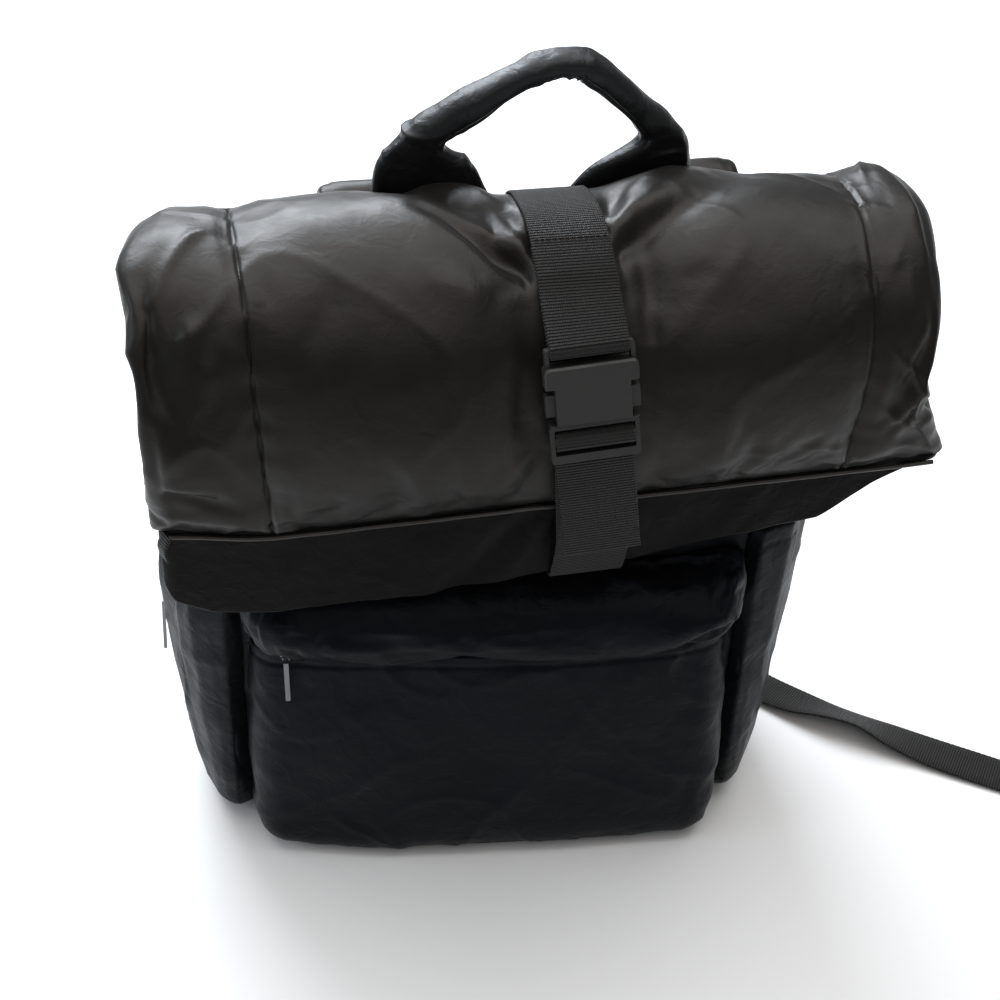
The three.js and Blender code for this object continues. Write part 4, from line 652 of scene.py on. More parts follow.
# The folded top, blown up between its seams, with gathers along them
def padded_top():
    rings, k = section_rings(top_section, np.linspace(0, LAST_TOP, 78), np.linspace(LAST_TOP, 0, 14),
                             FLAP_WALL, 100, 5, 24)
    obj = loft("padded_top", rings, loop=True)
    x, seam, place, strap, kind = k.T
    from_strap = np.abs(x - strap)
    held = (kind > 1.5) | (place < 0.4) | (place > LAST_TOP - 0.3)
    pin = np.where(held, 1.0, 0.0)
    pin = np.maximum(pin, np.where((from_strap < 21) & (place > 2.5) & (kind < 0.5), 1.0, 0.0))
    room = np.clip(smooth((from_strap - 20) / 22) + (place < 2.5), 0, 1)
    keep(obj, k_x=x, k_seam=seam, k_place=place, k_strap=strap, k_kind=kind)
    puffed(obj, pin, pressure=5, grow=0.05, cap=0.0065, frames=22, room=room)
    subdivide(obj)
    x, seam, place = kept(obj, "k_x"), kept(obj, "k_seam"), kept(obj, "k_place")
    strap, kind = kept(obj, "k_strap"), kept(obj, "k_kind")
    p = get_points(obj) / MM
    d = np.abs(np.abs(x) - seam)
    side = np.sign(x)
    run = place * 21.0
    face = np.clip(1.2 - kind, 0, 1) * smooth(place / 1.5)
    off = np.abs(x - strap)
    gather = noise(np.column_stack([run, d * 0.18 + 40 * side, side * 9]), 5.5, 3)
    gather2 = noise(np.column_stack([run, d * 0.3 + 70 * side, side * 9]), 11, 4)
    amount = face * (1.1 * gather * np.exp(-d / 6) + 1.2 * gather2 * np.exp(-d / 20))
    amount += face * (0.5 * SEAM_GROOVE * bump(d / 4) - 2.6 * np.exp(-np.square(d / 1.1)))
    amount += face * creases(x, place) * smooth((off - 19) / 5)
    hem = (LAST_TOP - place) * 36.0
    amount += face * 1.1 * noise(np.column_stack([x, hem * 0.2, 0 * x]), 9, 5) * np.exp(-hem / 16) * smooth(hem / 4)
    ends = np.clip(kind, 0, 1) * (kind < 1.6) + smooth((np.abs(x) - seam - 6) / 14) * (kind < 0.6)
    ends = np.clip(ends, 0, 1) * smooth(place - 2.5) * (place < LAST_TOP + 1)
    out = p[:, 0] * side
    lines = np.column_stack([(p[:, 2] * 1.2 - out) * 0.3, p[:, 1] * 0.5, out * 1.1 + p[:, 2] * 0.9])
    amount += ends * (2.2 * ridges(lines, 34, 8, 2.0) - 0.9 + 0.6 * noise(lines, 15, 9))
    broad = np.column_stack([x * 0.8 + run * 0.5, run - 0.3 * x, 0 * x])
    clear = smooth((off - 22) / 16) * face
    amount += clear * (0.9 * noise(broad, 52, 12) + 0.3 * noise(broad, 19, 13))
    soft_folds = ridges(np.column_stack([x * 0.5 + run * 0.8, run - 0.55 * x, 0 * x]), 40, 21, 2.0)
    amount += clear * 0.8 * (soft_folds - 0.25)
    displace(obj, amount)
    return finish_piece(obj, NYLON, "roll_top", slot="puffer", fill=0.8)


# The main pouch, with low crumpled relief on its walls
def padded_body():
    rings, k = section_rings(body_section, np.linspace(0, 8, 60), [8, 6, 4, 2, 1.25], BODY_WALL, 84, 5, 84)
    obj = loft("padded_body", rings)
    keep(obj, k_x=k[:, 0], k_place=k[:, 2], k_kind=k[:, 4])
    subdivide(obj)
    x, place, kind = kept(obj, "k_x"), kept(obj, "k_place"), kept(obj, "k_kind")
    p = get_points(obj) / MM
    free = (kind < 2.6) * smooth((place - 0.4) / 1.2) * smooth((8 - place) / 0.5)
    behind = (kind > 1.5) & (kind < 2.6) & (np.abs(x) < 138) & (p[:, 2] < 208)
    free = free * np.where(behind, 0, 1)
    back = (kind < 0.5)
    edge = np.abs(np.abs(x) - 118)
    lines = np.column_stack([p[:, 0] * 0.7, p[:, 1] * 0.7, p[:, 2] * 1.3 - np.abs(p[:, 0]) * 0.4])
    amount = 1.4 * noise(lines, 34, 31) + 1.5 * ridges(lines, 24, 32) - 0.4 + 0.5 * noise(lines, 9, 33)
    amount = amount * np.where(back, 0.6, 1.0)
    amount -= np.where(back, 2.0 * np.exp(-np.square(edge / 1.8)), 0)
    amount += np.where(back, 1.0 * noise(np.column_stack([p[:, 2], edge * 0.3, x * 0]), 7, 34) * np.exp(-edge / 9), 0)
    displace(obj, amount * free)
    return finish_piece(obj, LOWER, "body_shell", slot="puffer_lower", fill=0.7)


# Columns: across, drop
BAND_ROWS = np.array([
    [-1, 0.45], [-0.95, 0.88], [-0.86, 1], [-0.3, 1], [-0.08, 0.9], [0.06, 0.84],
    [0.2, 0.86], [0.46, 0.7], [0.67, 0.6], [0.8, 0.26], [0.9, 0.08], [1, 0.05],
])


def mouth_cloth():
    hem = dict(top_section(LAST_TOP), settled=0.0)
    middle = (hem["front"][0] + hem["back"][0]) / 2
    settled = top_section(LAST_TOP)["settled"]

    def sheets(inset, shares):
        made = []
        for share in shares:
            p, _, _ = ring_round(hem, inset, 170, 4, 60)
            fall = np.interp(np.clip(2 * p[:, 0] / FLAP_WIDTH, -1, 1), *BAND_ROWS.T) * BAND_DROP * share
            narrow = 1 + (0.45 - 1) * (fall / BAND_DROP) ** 1.5
            wave = noise(np.column_stack([p[:, 0], 20 * share + 0 * fall, p[:, 1] * 0.1]), 34, 41)
            fine = noise(np.column_stack([p[:, 0] + 14 * share, 26 * share + 0 * fall, p[:, 1] * 0.1]), 13, 42)
            fold = (p[:, 0] + 52 - 44 * (1 - share)) / (5 + 5 * share)
            wave = wave - 1.5 * np.exp(-fold ** 2) + 0.9 * np.exp(-(fold - 2.2) ** 2)
            sign = np.sign(p[:, 1] - middle)
            p[:, 1] = middle + (p[:, 1] - middle) * narrow - (1.6 * wave + 0.7 * fine) * smooth(share * 3) * (sign < 0)
            p[:, 2] -= SEAT_GAP + fall - 2.5 * (share == 0)
            made.append(settle(p, settled))
        return made

    out = np.linspace(0, 1, 26)
    rings = sheets(BAND_STEP, out) + sheets(BAND_STEP + BAND_WALL, out[::-1][::5])
    obj = loft("mouth_cloth", rings, loop=True)
    subdivide(obj)
    return finish_piece(obj, BAND, "mouth_band", slot="puffer")


# Curves as tubes of mesh
def spline(rows, step):
    """Catmull-Rom through rows, with a point at least every step mm."""
    rows = np.asarray(rows, float)
    out = []
    for i in range(len(rows) - 1):
        n = max(1, int(np.ceil(np.linalg.norm(rows[i + 1][:3] - rows[i][:3]) / step)))
        out += [row_at(rows, i + j / n) for j in range(n)]
    return np.array(out + [rows[-1]])


def tube(name, path, radius, sides=8):
    path = np.asarray(path, float)
    along = np.gradient(path, axis=0)
    along /= np.linalg.norm(along, axis=1)[:, None]
    side = np.cross([0, 0, 1.0], along)
    side /= np.maximum(np.linalg.norm(side, axis=1), 1e-6)[:, None]
    up = np.cross(along, side)
    a = np.linspace(0, 2 * np.pi, sides, endpoint=False)
    rings = [p + radius * (np.outer(np.cos(a), s) + np.outer(np.sin(a), u)) for p, s, u in zip(path, side, up)]
    return loft(name, rings)


def piping():
    hem = dict(top_section(LAST_TOP), settled=0.0)
    settled = top_section(LAST_TOP)["settled"]
    made = []
    for name, radius, inset, drop in (("hem_lip", 1.2, -1.2, 1.6), ("hem_cord", 0.8, 2.2, 4.8)):
        p, _, _ = ring_round(hem, inset, 200, 4, 40)
        p = p[:201]
        p[:, 2] -= drop
        p[:, 2] += 0.4 * noise(p, 16, 51)
        made.append(tube(name, settle(p, settled), radius))
    corner = settle(p[:1], settled)[0]
    rows = [[corner[0] - 1, corner[1] - 1, corner[2] + 2, 0.5, -0.85, 0, 8],
            [corner[0] - 4, corner[1] - 2, corner[2] - 5, 0.5, -0.85, 0, 8],
            [corner[0] - 3, corner[1] - 2, corner[2] - 12, 0.5, -0.85, 0, 8]]
    webbing("zip_end_tab", rows, 1.4)
    finish_piece(made[0], PIPING, "hem_piping", slot="puffer")
    finish_piece(made[1], PIPING, slot="puffer")


# Front pocket. Columns: height, half width, front
POCKET_ROWS = np.array([
    [0, 0.9, 0.87], [0.05, 0.97, 0.955], [0.14, 1, 0.985], [0.36, 1.01, 0.975],
    [0.62, 1.005, 0.95], [0.86, 0.995, 0.905], [1, 0.985, 0.865],
])


def place_at_height(z):
    low, high = 0.0, len(BODY_ROWS) - 1.0
    for _ in range(24):
        middle = (low + high) / 2
        if row_at(BODY_ROWS, middle)[0] * SPLIT_HEIGHT < z:
            low = middle
        else:
            high = middle
    return (low + high) / 2


def body_face(x, z):
    s = body_section(place_at_height(z))
    beyond = min(max(0, abs(x) - (s["half"] - s["corner"])), s["corner"])
    return s["front"][0] + s["corner"] - math.sqrt(s["corner"] ** 2 - beyond ** 2)


def pocket_line(place, inset, count=86):
    share, half, front = row_at(POCKET_ROWS, place)
    z = mix(POCKET_FOOT, POCKET_TOP, share)
    half = half * POCKET_WIDTH / 2 - inset
    front = front * POCKET_FRONT - inset
    r = 20 - inset
    edge = half - r
    seat = -body_face(half, z) - 0.5
    side = [(half, mix(seat, front - r, t)) for t in np.linspace(0, 1, 9)[:-1]]
    side += [(edge + r * math.cos(a), front - r + r * math.sin(a)) for a in np.radians(np.linspace(0, 90, 9))]
    line = side + [(x, front) for x in np.linspace(edge, -edge, count)[1:-1]] + [(-x, y) for x, y in reversed(side)]
    line = np.array(line)
    y = -line[:, 1] - POCKET_BULGE * np.maximum(0, 1 - (line[:, 0] / edge) ** 2)
    return np.column_stack([line[:, 0], y, np.full(len(line), z)])


def front_pocket():
    outer = np.linspace(0, 6, 52)
    rings, up, inside = [], [], []
    for place in outer:
        p = pocket_line(place, 0)
        back = pocket_line(place, POCKET_WALL)[::-1]
        if place < 0.95:
            back = p[::-1].copy()
            back[:, 1] = [body_face(x, 6) - 0.5 for x in back[:, 0]]
        rings.append(np.vstack([p, back]))
        n = len(p)
        up.append(np.full(2 * n, place))
        inside.append(np.concatenate([np.zeros(n), np.ones(n)]))
    obj = loft("front_pocket_cloth", rings)
    up, inside = np.concatenate(up), np.concatenate(inside)
    p = get_points(obj) / MM
    from_side = (np.abs(p[:, 0]) > 124) & (p[:, 1] > -66)
    pin = np.where((inside > 0.5) | (up < 0.25) | (up > 5.75) | from_side, 1.0, 0.0)
    keep(obj, k_up=up, k_in=inside)
    puffed(obj, pin, pressure=3, grow=0.055, cap=0.006, frames=18)
    subdivide(obj)
    up, inside = kept(obj, "k_up"), kept(obj, "k_in")
    p = get_points(obj) / MM
    free = np.clip(1 - inside * 1.5, 0, 1) * smooth(up / 0.5)
    foot = p[:, 2]
    lines = np.column_stack([p[:, 0] * 0.7 + p[:, 2] * 0.55, p[:, 1], p[:, 2] - 0.45 * p[:, 0]])
    other = np.column_stack([p[:, 0] * 0.75 - p[:, 2] * 0.5, p[:, 1], p[:, 2] + 0.5 * p[:, 0]])
    amount = 1.6 * noise(lines, 42, 61) + 0.7 * ridges(lines, 40, 62, 2.5) + 0.7 * ridges(other, 34, 63, 2.5) - 0.4
    corner = smooth((np.abs(p[:, 0]) - 70) / 50)
    amount += corner * 1.1 * noise(lines, 15, 64)
    top = np.exp(-(POCKET_TOP - foot) / 10)
    amount += 1.1 * top * noise(np.column_stack([p[:, 0], foot * 0.2, 0 * foot]), 8, 65)
    amount += 0.9 * np.exp(-foot / 14) * noise(np.column_stack([p[:, 0], foot * 0.2, 0 * foot]), 10, 66)
    rim = np.exp(-np.square((POCKET_TOP - 7 - foot) / 1.1)) + np.exp(-np.square((foot - 7) / 1.2))
    displace(obj, (amount - 1.1 * rim) * free)
    return finish_piece(obj, LOWER, "front_pocket", slot="puffer_lower", fill=0.6)


# The roll over the pocket's zip. Columns: across, low, high, out
ROLL_ROWS = np.array([
    [-1, 0.34, 0.9, 0.3], [-0.96, 0.22, 0.98, 0.62], [-0.86, 0.1, 1, 0.88], [-0.68, 0.02, 0.98, 0.97],
    [-0.42, 0, 0.95, 1], [-0.14, 0.01, 0.93, 0.98], [0.14, 0, 0.93, 1], [0.42, -0.01, 0.92, 1],
    [0.68, 0, 0.92, 0.97], [0.86, 0.08, 1, 0.9], [0.96, 0.2, 1.02, 0.66], [1, 0.32, 0.98, 0.3],
])
# Columns: out, up
ROLL_PROFILE = np.array([
    [0, 1], [0.3, 0.99], [0.62, 0.93], [0.85, 0.79], [0.98, 0.6], [1, 0.4], [0.94, 0.2], [0.8, 0.05],
    [0.6, 0], [0.3, 0.04], [0, 0.1], [0, 0.4], [0, 0.7], [0, 1],
])


def settled_at(z):
    return np.interp(z, BODY_ROWS[:, 0] * SPLIT_HEIGHT, np.clip(BODY_ROWS[:, 6], 0, 1))


def baffle():
    profile = np.array([row_at(ROLL_PROFILE, t) for t in np.linspace(0, 13, 53)[:-1]])
    rings, low, ends = [], [], []
    for place in np.linspace(0, len(ROLL_ROWS) - 1, 104):
        across, foot, head, out = row_at(ROLL_ROWS, place)
        x = across * POCKET_WIDTH / 2
        z = POCKET_TOP + ZIP_SLIT + (foot + (head - foot) * profile[:, 1]) * ROLL_HEIGHT
        seat = body_face(x, mix(z.min(), z.max(), 0.5)) - 0.3
        depth = max(4, (ROLL_FRONT + seat) * out)
        p = np.column_stack([np.full(len(z), x), seat - profile[:, 0] * depth, z])
        rings.append(settle(p, settled_at(z)))
        low.append(profile[:, 0])
        ends.append(np.full(len(z), abs(across)))
    obj = loft("pocket_roll", rings)
    out, ends = np.concatenate(low), np.concatenate(ends)
    pin = np.where((out < 0.12) | (ends > 0.985), 1.0, 0.0)
    keep(obj, k_out=out, k_end=ends)
    puffed(obj, pin, pressure=3, grow=0.07, cap=0.006, frames=18)
    subdivide(obj)
    out, ends = kept(obj, "k_out"), kept(obj, "k_end")
    p = get_points(obj) / MM
    lines = np.column_stack([p[:, 0], p[:, 1] * 0.35, p[:, 2] * 0.35])
    free = smooth(out / 0.25)
    amount = 1.3 * noise(lines, 16, 71) * (0.5 + smooth((p[:, 2] - 176) / 22)) + 1.2 * noise(p, 38, 72)
    amount += 0.8 * noise(lines, 8, 73) * smooth((p[:, 2] - 184) / 16) + 1.2 * smooth((ends - 0.8) / 0.15) * ridges(p, 16, 74)
    displace(obj, amount * free)
    return finish_piece(obj, LOWER, "pocket_baffle", slot="puffer", fill=0.8)


# Grab handle. Columns: outer x, outer z, inner x, inner z, back, thick
HANDLE_ROWS = np.array([
    [-0.98, 0, -0.3, -0.02, 0.78, 0.42], [-1.01, 0.17, -0.29, 0.13, 0.36, 0.55],
    [-0.99, 0.38, -0.38, 0.32, 0.24, 0.72], [-0.86, 0.54, -0.56, 0.47, 0.2, 0.9],
    [-0.66, 0.7, -0.46, 0.57, 0.18, 1], [-0.25, 0.93, -0.15, 0.78, 0.14, 1],
    [0.04, 1.05, 0.06, 0.89, 0.12, 1.02], [0.28, 1.06, 0.22, 0.895, 0.12, 1.04],
    [0.45, 0.97, 0.32, 0.83, 0.13, 1], [0.74, 0.69, 0.58, 0.57, 0.18, 0.98],
    [0.94, 0.5, 0.66, 0.43, 0.2, 0.9], [1.01, 0.3, 0.42, 0.27, 0.25, 0.72],
    [1.01, 0.12, 0.27, 0.09, 0.4, 0.55], [0.97, -0.04, 0.27, -0.05, 0.8, 0.42],
])


def grab_handle():
    angle = np.linspace(0, 2 * np.pi, 40, endpoint=False)
    c = np.sign(np.cos(angle)) * np.abs(np.cos(angle)) ** 0.8
    q = np.sign(np.sin(angle)) * np.abs(np.sin(angle)) ** 0.8
    rings, rows = [], []
    for place in np.linspace(0, 13, 120):
        ox, oz, ix, iz, back, thick = row_at(HANDLE_ROWS, place)
        y = HANDLE_BACK + back * HANDLE_TUBE
        outer = np.array([ox * HANDLE_SPAN / 2, y, HANDLE_FOOT + oz * HANDLE_RISE * 1.2])
        inner = np.array([ix * HANDLE_SPAN / 2, y, HANDLE_FOOT + iz * HANDLE_RISE * 1.2])
        middle, across = (outer + inner) / 2, (outer - inner) / 2
        ring = middle + np.outer(c, across) + np.outer(q * thick * HANDLE_TUBE / 2, [0, 1, 0])
        # The strip's two edges meet in a seam along the inner front side
        rings.append(settle(ring, 1.0))
        rows.append(np.column_stack([np.full(40, place), angle]))
    obj = loft("grab_handle", rings)
    place, angle = np.vstack(rows).T
    keep(obj, k_place=place, k_c=np.cos(angle), k_s=np.sin(angle))
    subdivide(obj)
    place = kept(obj, "k_place")
    angle = np.arctan2(kept(obj, "k_s"), kept(obj, "k_c"))
    p = get_points(obj) / MM
    run = place * 22
    tubed = smooth((place - 2.6) / 0.8) * smooth((10.4 - place) / 0.8)
    seam = np.abs(np.angle(np.exp(1j * (angle + 2.2))))
    amount = -2.0 * np.exp(-np.square(seam / 0.13)) * tubed
    amount += 1.1 * noise(np.column_stack([run, seam * 3, 0 * run]), 7, 81) * np.exp(-seam / 0.9) * tubed
    apex = np.exp(-np.square((place - 6.8) / 0.9)) * smooth(-np.cos(angle) + 0.3)
    amount += 1.6 * apex * (ridges(np.column_stack([run, angle * 2, 0 * run]), 9, 82) - 0.3)
    bend = np.exp(-np.square((place - 3.1) / 0.7)) + np.exp(-np.square((place - 10.2) / 0.7))
    amount += 2.2 * bend * (ridges(np.column_stack([p[:, 0], p[:, 2] * 0.8, 0 * run]), 15, 83) - 0.25)
    amount += 1.0 * noise(p, 17, 84) + (1 - tubed) * 1.4 * ridges(p, 22, 85)
    amount += 0.9 * tubed * noise(np.column_stack([run, angle * 2.5, 0 * run]), 9, 86)
    displace(obj, amount * smooth(place / 0.3) * smooth((13 - place) / 0.3))
    return finish_piece(obj, HANDLE, "handle", slot="puffer", fill=0.7)


# Shoulder straps. Columns: across, back, up, wide, thick
SHOULDER_SPACING, SHOULDER_WIDTH, SHOULDER_THICK, STRAP_PUSH = 158, 60, 10, 6
STRAP_ROWS = np.array([
    [1, 41, 338, 0.9, 0.3], [1, 43, 350, 0.97, 0.6], [1.01, 49, 362, 1, 0.9], [1.01, 59, 366, 1, 1],
    [1.02, 69, 359, 1, 1], [1.02, 77, 345, 1, 1], [1, 80, 300, 1, 1], [0.98, 81, 250, 1, 1],
    [1, 82, 200, 0.96, 1], [1.06, 84, 155, 0.88, 1], [1.09, 86.4, 137, 0.74, 0.75],
    [1.11, 87.2, 128, 0.5, 0.4], [1.137, 86.3, 119, 0.42, 0.34],
])


def shoulder(name, sign, node_name):
    top = np.linspace(1, -1, 17)
    face = np.column_stack([top, 1 - 0.55 * np.abs(top) ** 8])
    outline = np.vstack([face, [[-1.02, 0.0]], face[::-1] * [1, -1], [[1.02, 0.0]]])
    rings, rows = [], []

    def at(place):
        across, back, up = row_at(STRAP_ROWS, place)[:3]
        return np.array([sign * across * SHOULDER_SPACING / 2, back, up])

    for place in np.linspace(0, 12, 110):
        _, _, _, wide, thick = row_at(STRAP_ROWS, place)
        along = at(place + 0.05) - at(place - 0.05)
        along /= np.linalg.norm(along)
        side = np.array([1.0, 0, 0]) - along * along[0]
        side /= np.linalg.norm(side)
        normal = np.cross(side, along)
        w, h = wide * SHOULDER_WIDTH / 2, thick * SHOULDER_THICK / 2
        p = at(place) + np.outer(outline[:, 0] * w, side) + np.outer(outline[:, 1] * h, normal)
        share = smooth((p[:, 2] - 120) / 180)
        p = settle(p, share)
        p[:, 0] += STRAP_PUSH * share
        rings.append(p)
        rows.append(np.column_stack([np.full(len(p), place), outline[:, 0] * w, np.abs(outline[:, 0])]))
    obj = loft(name, rings)
    place, across, share = np.vstack(rows).T
    keep(obj, k_place=place, k_x=across, k_share=share)
    subdivide(obj)
    place, x, share = kept(obj, "k_place"), kept(obj, "k_x"), kept(obj, "k_share")
    p = get_points(obj) / MM
    seam = np.exp(-np.square((share - 0.84) / 0.03))
    amount = -1.0 * seam + 0.7 * noise(p, 24, 91) + 0.6 * noise(np.column_stack([p[:, 2], share * 8, x * 0]), 6, 92) \
        * np.exp(-np.abs(share - 0.84) / 0.12)
    displace(obj, amount * smooth((share * 0 + place) / 0.5))
    return finish_piece(obj, NYLON, node_name, slot="puffer", fill=0.6)


# Finer copies of solids that hug the body, smoothed and crumpled
def refined(name, node_name, longest, rounds):
    import bmesh
    src = NODES[node_name]
    bm = bmesh.new()
    bm.from_mesh(src.data)
    bmesh.ops.remove_doubles(bm, verts=bm.verts, dist=1e-5)
    for _ in range(5):
        long_edges = [e for e in bm.edges if e.calc_length() > longest * MM]
        if not long_edges:
            break
        bmesh.ops.subdivide_edges(bm, edges=long_edges, cuts=1, use_grid_fill=True)
        bmesh.ops.triangulate(bm, faces=bm.faces)
    for _ in range(rounds):
        bmesh.ops.smooth_vert(bm, verts=bm.verts, factor=0.5, use_axis_x=True, use_axis_y=True, use_axis_z=True)
    mesh = bpy.data.meshes.new(name)
    bm.to_mesh(mesh)
    bm.free()
    obj = bpy.data.objects.new(name, mesh)
    bpy.context.scene.collection.objects.link(obj)
    mesh.shade_smooth()
    return obj


def side_pocket(name, node_name, seed):
    obj = refined(name, node_name, 3.4, 5)
    low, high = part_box(node_name)
    p = get_points(obj) / MM
    top = high.z / MM - p[:, 2]
    lines = np.column_stack([p[:, 0] * 0.4, p[:, 1] + 0.3 * p[:, 2], p[:, 2] * 0.55])
    amount = 1.3 * noise(lines, 17, seed) + 1.0 * ridges(lines, 22, seed + 1) - 0.3
    gather = noise(np.column_stack([p[:, 0] * 0.2, p[:, 1], top * 0.15]), 4.5, seed + 2)
    amount += 0.9 * gather * np.exp(-top / 16)
    amount -= 0.9 * np.exp(-np.square((top - 12) / 1.0))
    solid = smooth((p[:, 2] - low.z / MM) / 8)
    displace(obj, amount * solid * 0.9)
    return finish_piece(obj, LOWER, node_name, slot="puffer_lower")


# Flat webbing through stations of a middle, a sideways direction and a width
WEB_PROFILE = np.array([
    [-1, -0.5], [-1, 0.5], [-0.965, 1], [-0.5, 1], [0, 1], [0.5, 1], [0.965, 1],
    [1, 0.5], [1, -0.5], [0.965, -1], [0.5, -1], [0, -1], [-0.5, -1], [-0.965, -1],
])


def webbing(name, rows, thick, *nodes, mat=None):
    got = spline(rows, 1.7)
    along = np.gradient(got[:, :3], axis=0)
    rings = []
    for i, (row, t) in enumerate(zip(got, along)):
        side = row[3:6] / np.linalg.norm(row[3:6])
        normal = np.cross(t, side)
        normal /= np.linalg.norm(normal)
        width = row[6] + 0.25 * (-1) ** i
        rings.append(row[:3] + np.outer(WEB_PROFILE[:, 0] * width / 2, side)
                     + np.outer(WEB_PROFILE[:, 1] * thick / 2, normal))
    obj = loft(name, rings)
    return finish_piece(obj, mat or WEBBING, *nodes, slot="webbing")


# Stations of the straps in mm: middle, sideways direction and width
UPPER_WEB = [
    [26.4, 18.6, 384.5, 1.00, 0.09, 0.00, 38],
    [27.1, 10.8, 390.1, 1.00, 0.09, 0.00, 38],
    [28.0, 1.7, 394.2, 1.00, 0.09, 0.00, 38],
    [28.9, -7.7, 397.0, 1.00, 0.09, 0.00, 38],
    [29.9, -17.4, 399.3, 1.00, 0.09, 0.00, 38],
    [31.0, -27.8, 400.6, 1.00, 0.09, 0.00, 38],
    [32.2, -38.8, 399.7, 1.00, 0.09, 0.00, 38],
    [33.5, -50.2, 396.2, 1.00, 0.09, 0.00, 38],
    [34.8, -60.9, 390.7, 1.00, 0.09, 0.00, 38],
    [36.0, -70.0, 383.7, 1.00, 0.09, 0.00, 38],
    [38.8, -94.5, 370.5, 0.99, 0.10, 0.06, 38],
    [38.9, -94.9, 369.0, 0.99, 0.10, 0.06, 38],
    [39.0, -95.3, 367.6, 0.99, 0.10, 0.06, 38],
    [39.1, -95.2, 366.6, 0.99, 0.10, 0.06, 38],
    [39.1, -94.4, 366.0, 0.99, 0.10, 0.06, 38],
    [38.7, -90.2, 364.8, 0.99, 0.10, 0.06, 38],
    [38.6, -89.2, 364.9, 0.99, 0.10, 0.06, 38],
    [38.5, -88.6, 365.7, 0.99, 0.10, 0.06, 38],
    [38.4, -88.2, 367.2, 0.99, 0.10, 0.06, 38],
    [38.2, -87.7, 369.2, 0.99, 0.10, 0.06, 38],
    [35.8, -68.5, 382.1, 1.00, 0.09, 0.00, 38],
    [34.5, -58.6, 389.4, 1.00, 0.09, 0.00, 38],
    [33.2, -46.9, 395.0, 1.00, 0.09, 0.00, 38],
]
LOWER_WEB = [
    [40.0, -54.8, 238.9, 1.00, 0.02, 0.00, 38],
    [39.6, -55.5, 228.9, 1.00, 0.01, 0.00, 38],
    [44.4, -61.4, 219.9, 1.00, 0.09, 0.04, 38],
    [45.0, -67.3, 215.9, 1.00, 0.09, 0.04, 38],
    [45.6, -74.3, 214.9, 1.00, 0.09, 0.04, 38],
    [46.1, -80.3, 216.9, 1.00, 0.09, 0.04, 38],
    [46.4, -84.3, 222.9, 1.00, 0.09, 0.04, 38],
    [46.9, -89.3, 236.9, 1.00, 0.09, 0.04, 38],
    [47.2, -93.2, 252.9, 1.00, 0.09, 0.04, 38],
    [43.7, -100.7, 302.9, 0.99, 0.10, 0.06, 38],
    [43.0, -100.3, 314.2, 0.99, 0.10, 0.06, 38],
    [42.3, -98.5, 321.7, 0.99, 0.10, 0.06, 38],
    [42.2, -99.5, 325.6, 0.99, 0.10, 0.06, 38],
    [42.1, -99.7, 326.5, 0.99, 0.10, 0.06, 38],
    [42.2, -100.5, 327.2, 0.99, 0.10, 0.06, 38],
    [42.5, -104.7, 328.3, 0.99, 0.10, 0.06, 38],
    [42.6, -105.7, 328.2, 0.99, 0.10, 0.06, 38],
    [42.7, -106.3, 327.4, 0.99, 0.10, 0.06, 38],
    [42.9, -106.8, 325.5, 0.99, 0.10, 0.06, 38],
    [43.1, -107.3, 323.6, 0.99, 0.10, 0.06, 38],
    [43.2, -107.2, 322.3, 0.99, 0.10, 0.06, 38],
    [43.0, -104.6, 320.2, 0.99, 0.10, 0.06, 38],
    [42.9, -102.4, 318.3, 0.99, 0.10, 0.06, 38],
    [43.0, -102.0, 316.6, 0.99, 0.10, 0.06, 38],
    [43.5, -103.5, 310.9, 0.99, 0.10, 0.06, 38],
    [44.9, -104.1, 299.5, 0.99, 0.10, 0.06, 38],
    [46.7, -104.8, 285.3, 0.99, 0.10, 0.06, 38],
    [48.4, -105.3, 271.0, 0.99, 0.10, 0.06, 38],
    [50.5, -105.5, 253.9, 0.99, 0.10, 0.06, 38],
]
LEFT_TAB = [
    [-89.2, 90.2, 120.9, -0.96, 0.00, 0.29, 25],
    [-92.6, 87.7, 109.6, -0.96, 0.00, 0.29, 25],
    [-93.1, 87.3, 108.0, -0.96, 0.00, 0.29, 25],
    [-93.3, 86.8, 107.3, -0.96, 0.00, 0.29, 25],
    [-93.4, 85.8, 107.1, -0.96, 0.00, 0.29, 25],
    [-93.1, 81.9, 107.9, -0.96, 0.00, 0.29, 25],
    [-93.0, 81.1, 108.4, -0.96, 0.00, 0.29, 25],
    [-92.7, 80.9, 109.3, -0.96, 0.00, 0.29, 25],
    [-92.2, 81.2, 110.9, -0.96, 0.00, 0.29, 25],
    [-88.8, 83.7, 122.2, -0.96, 0.00, 0.29, 25],
]
RIGHT_TAB = [
    [89.2, 90.2, 120.9, -0.96, -0.00, -0.29, 25],
    [92.6, 87.7, 109.6, -0.96, -0.00, -0.29, 25],
    [93.1, 87.3, 108.0, -0.96, -0.00, -0.29, 25],
    [93.3, 86.8, 107.3, -0.96, -0.00, -0.29, 25],
    [93.4, 85.8, 107.1, -0.96, -0.00, -0.29, 25],
    [93.1, 81.9, 107.9, -0.96, -0.00, -0.29, 25],
    [93.0, 81.1, 108.4, -0.96, -0.00, -0.29, 25],
    [92.7, 80.9, 109.3, -0.96, -0.00, -0.29, 25],
    [92.2, 81.2, 110.9, -0.96, -0.00, -0.29, 25],
    [88.8, 83.7, 122.2, -0.96, -0.00, -0.29, 25],
]
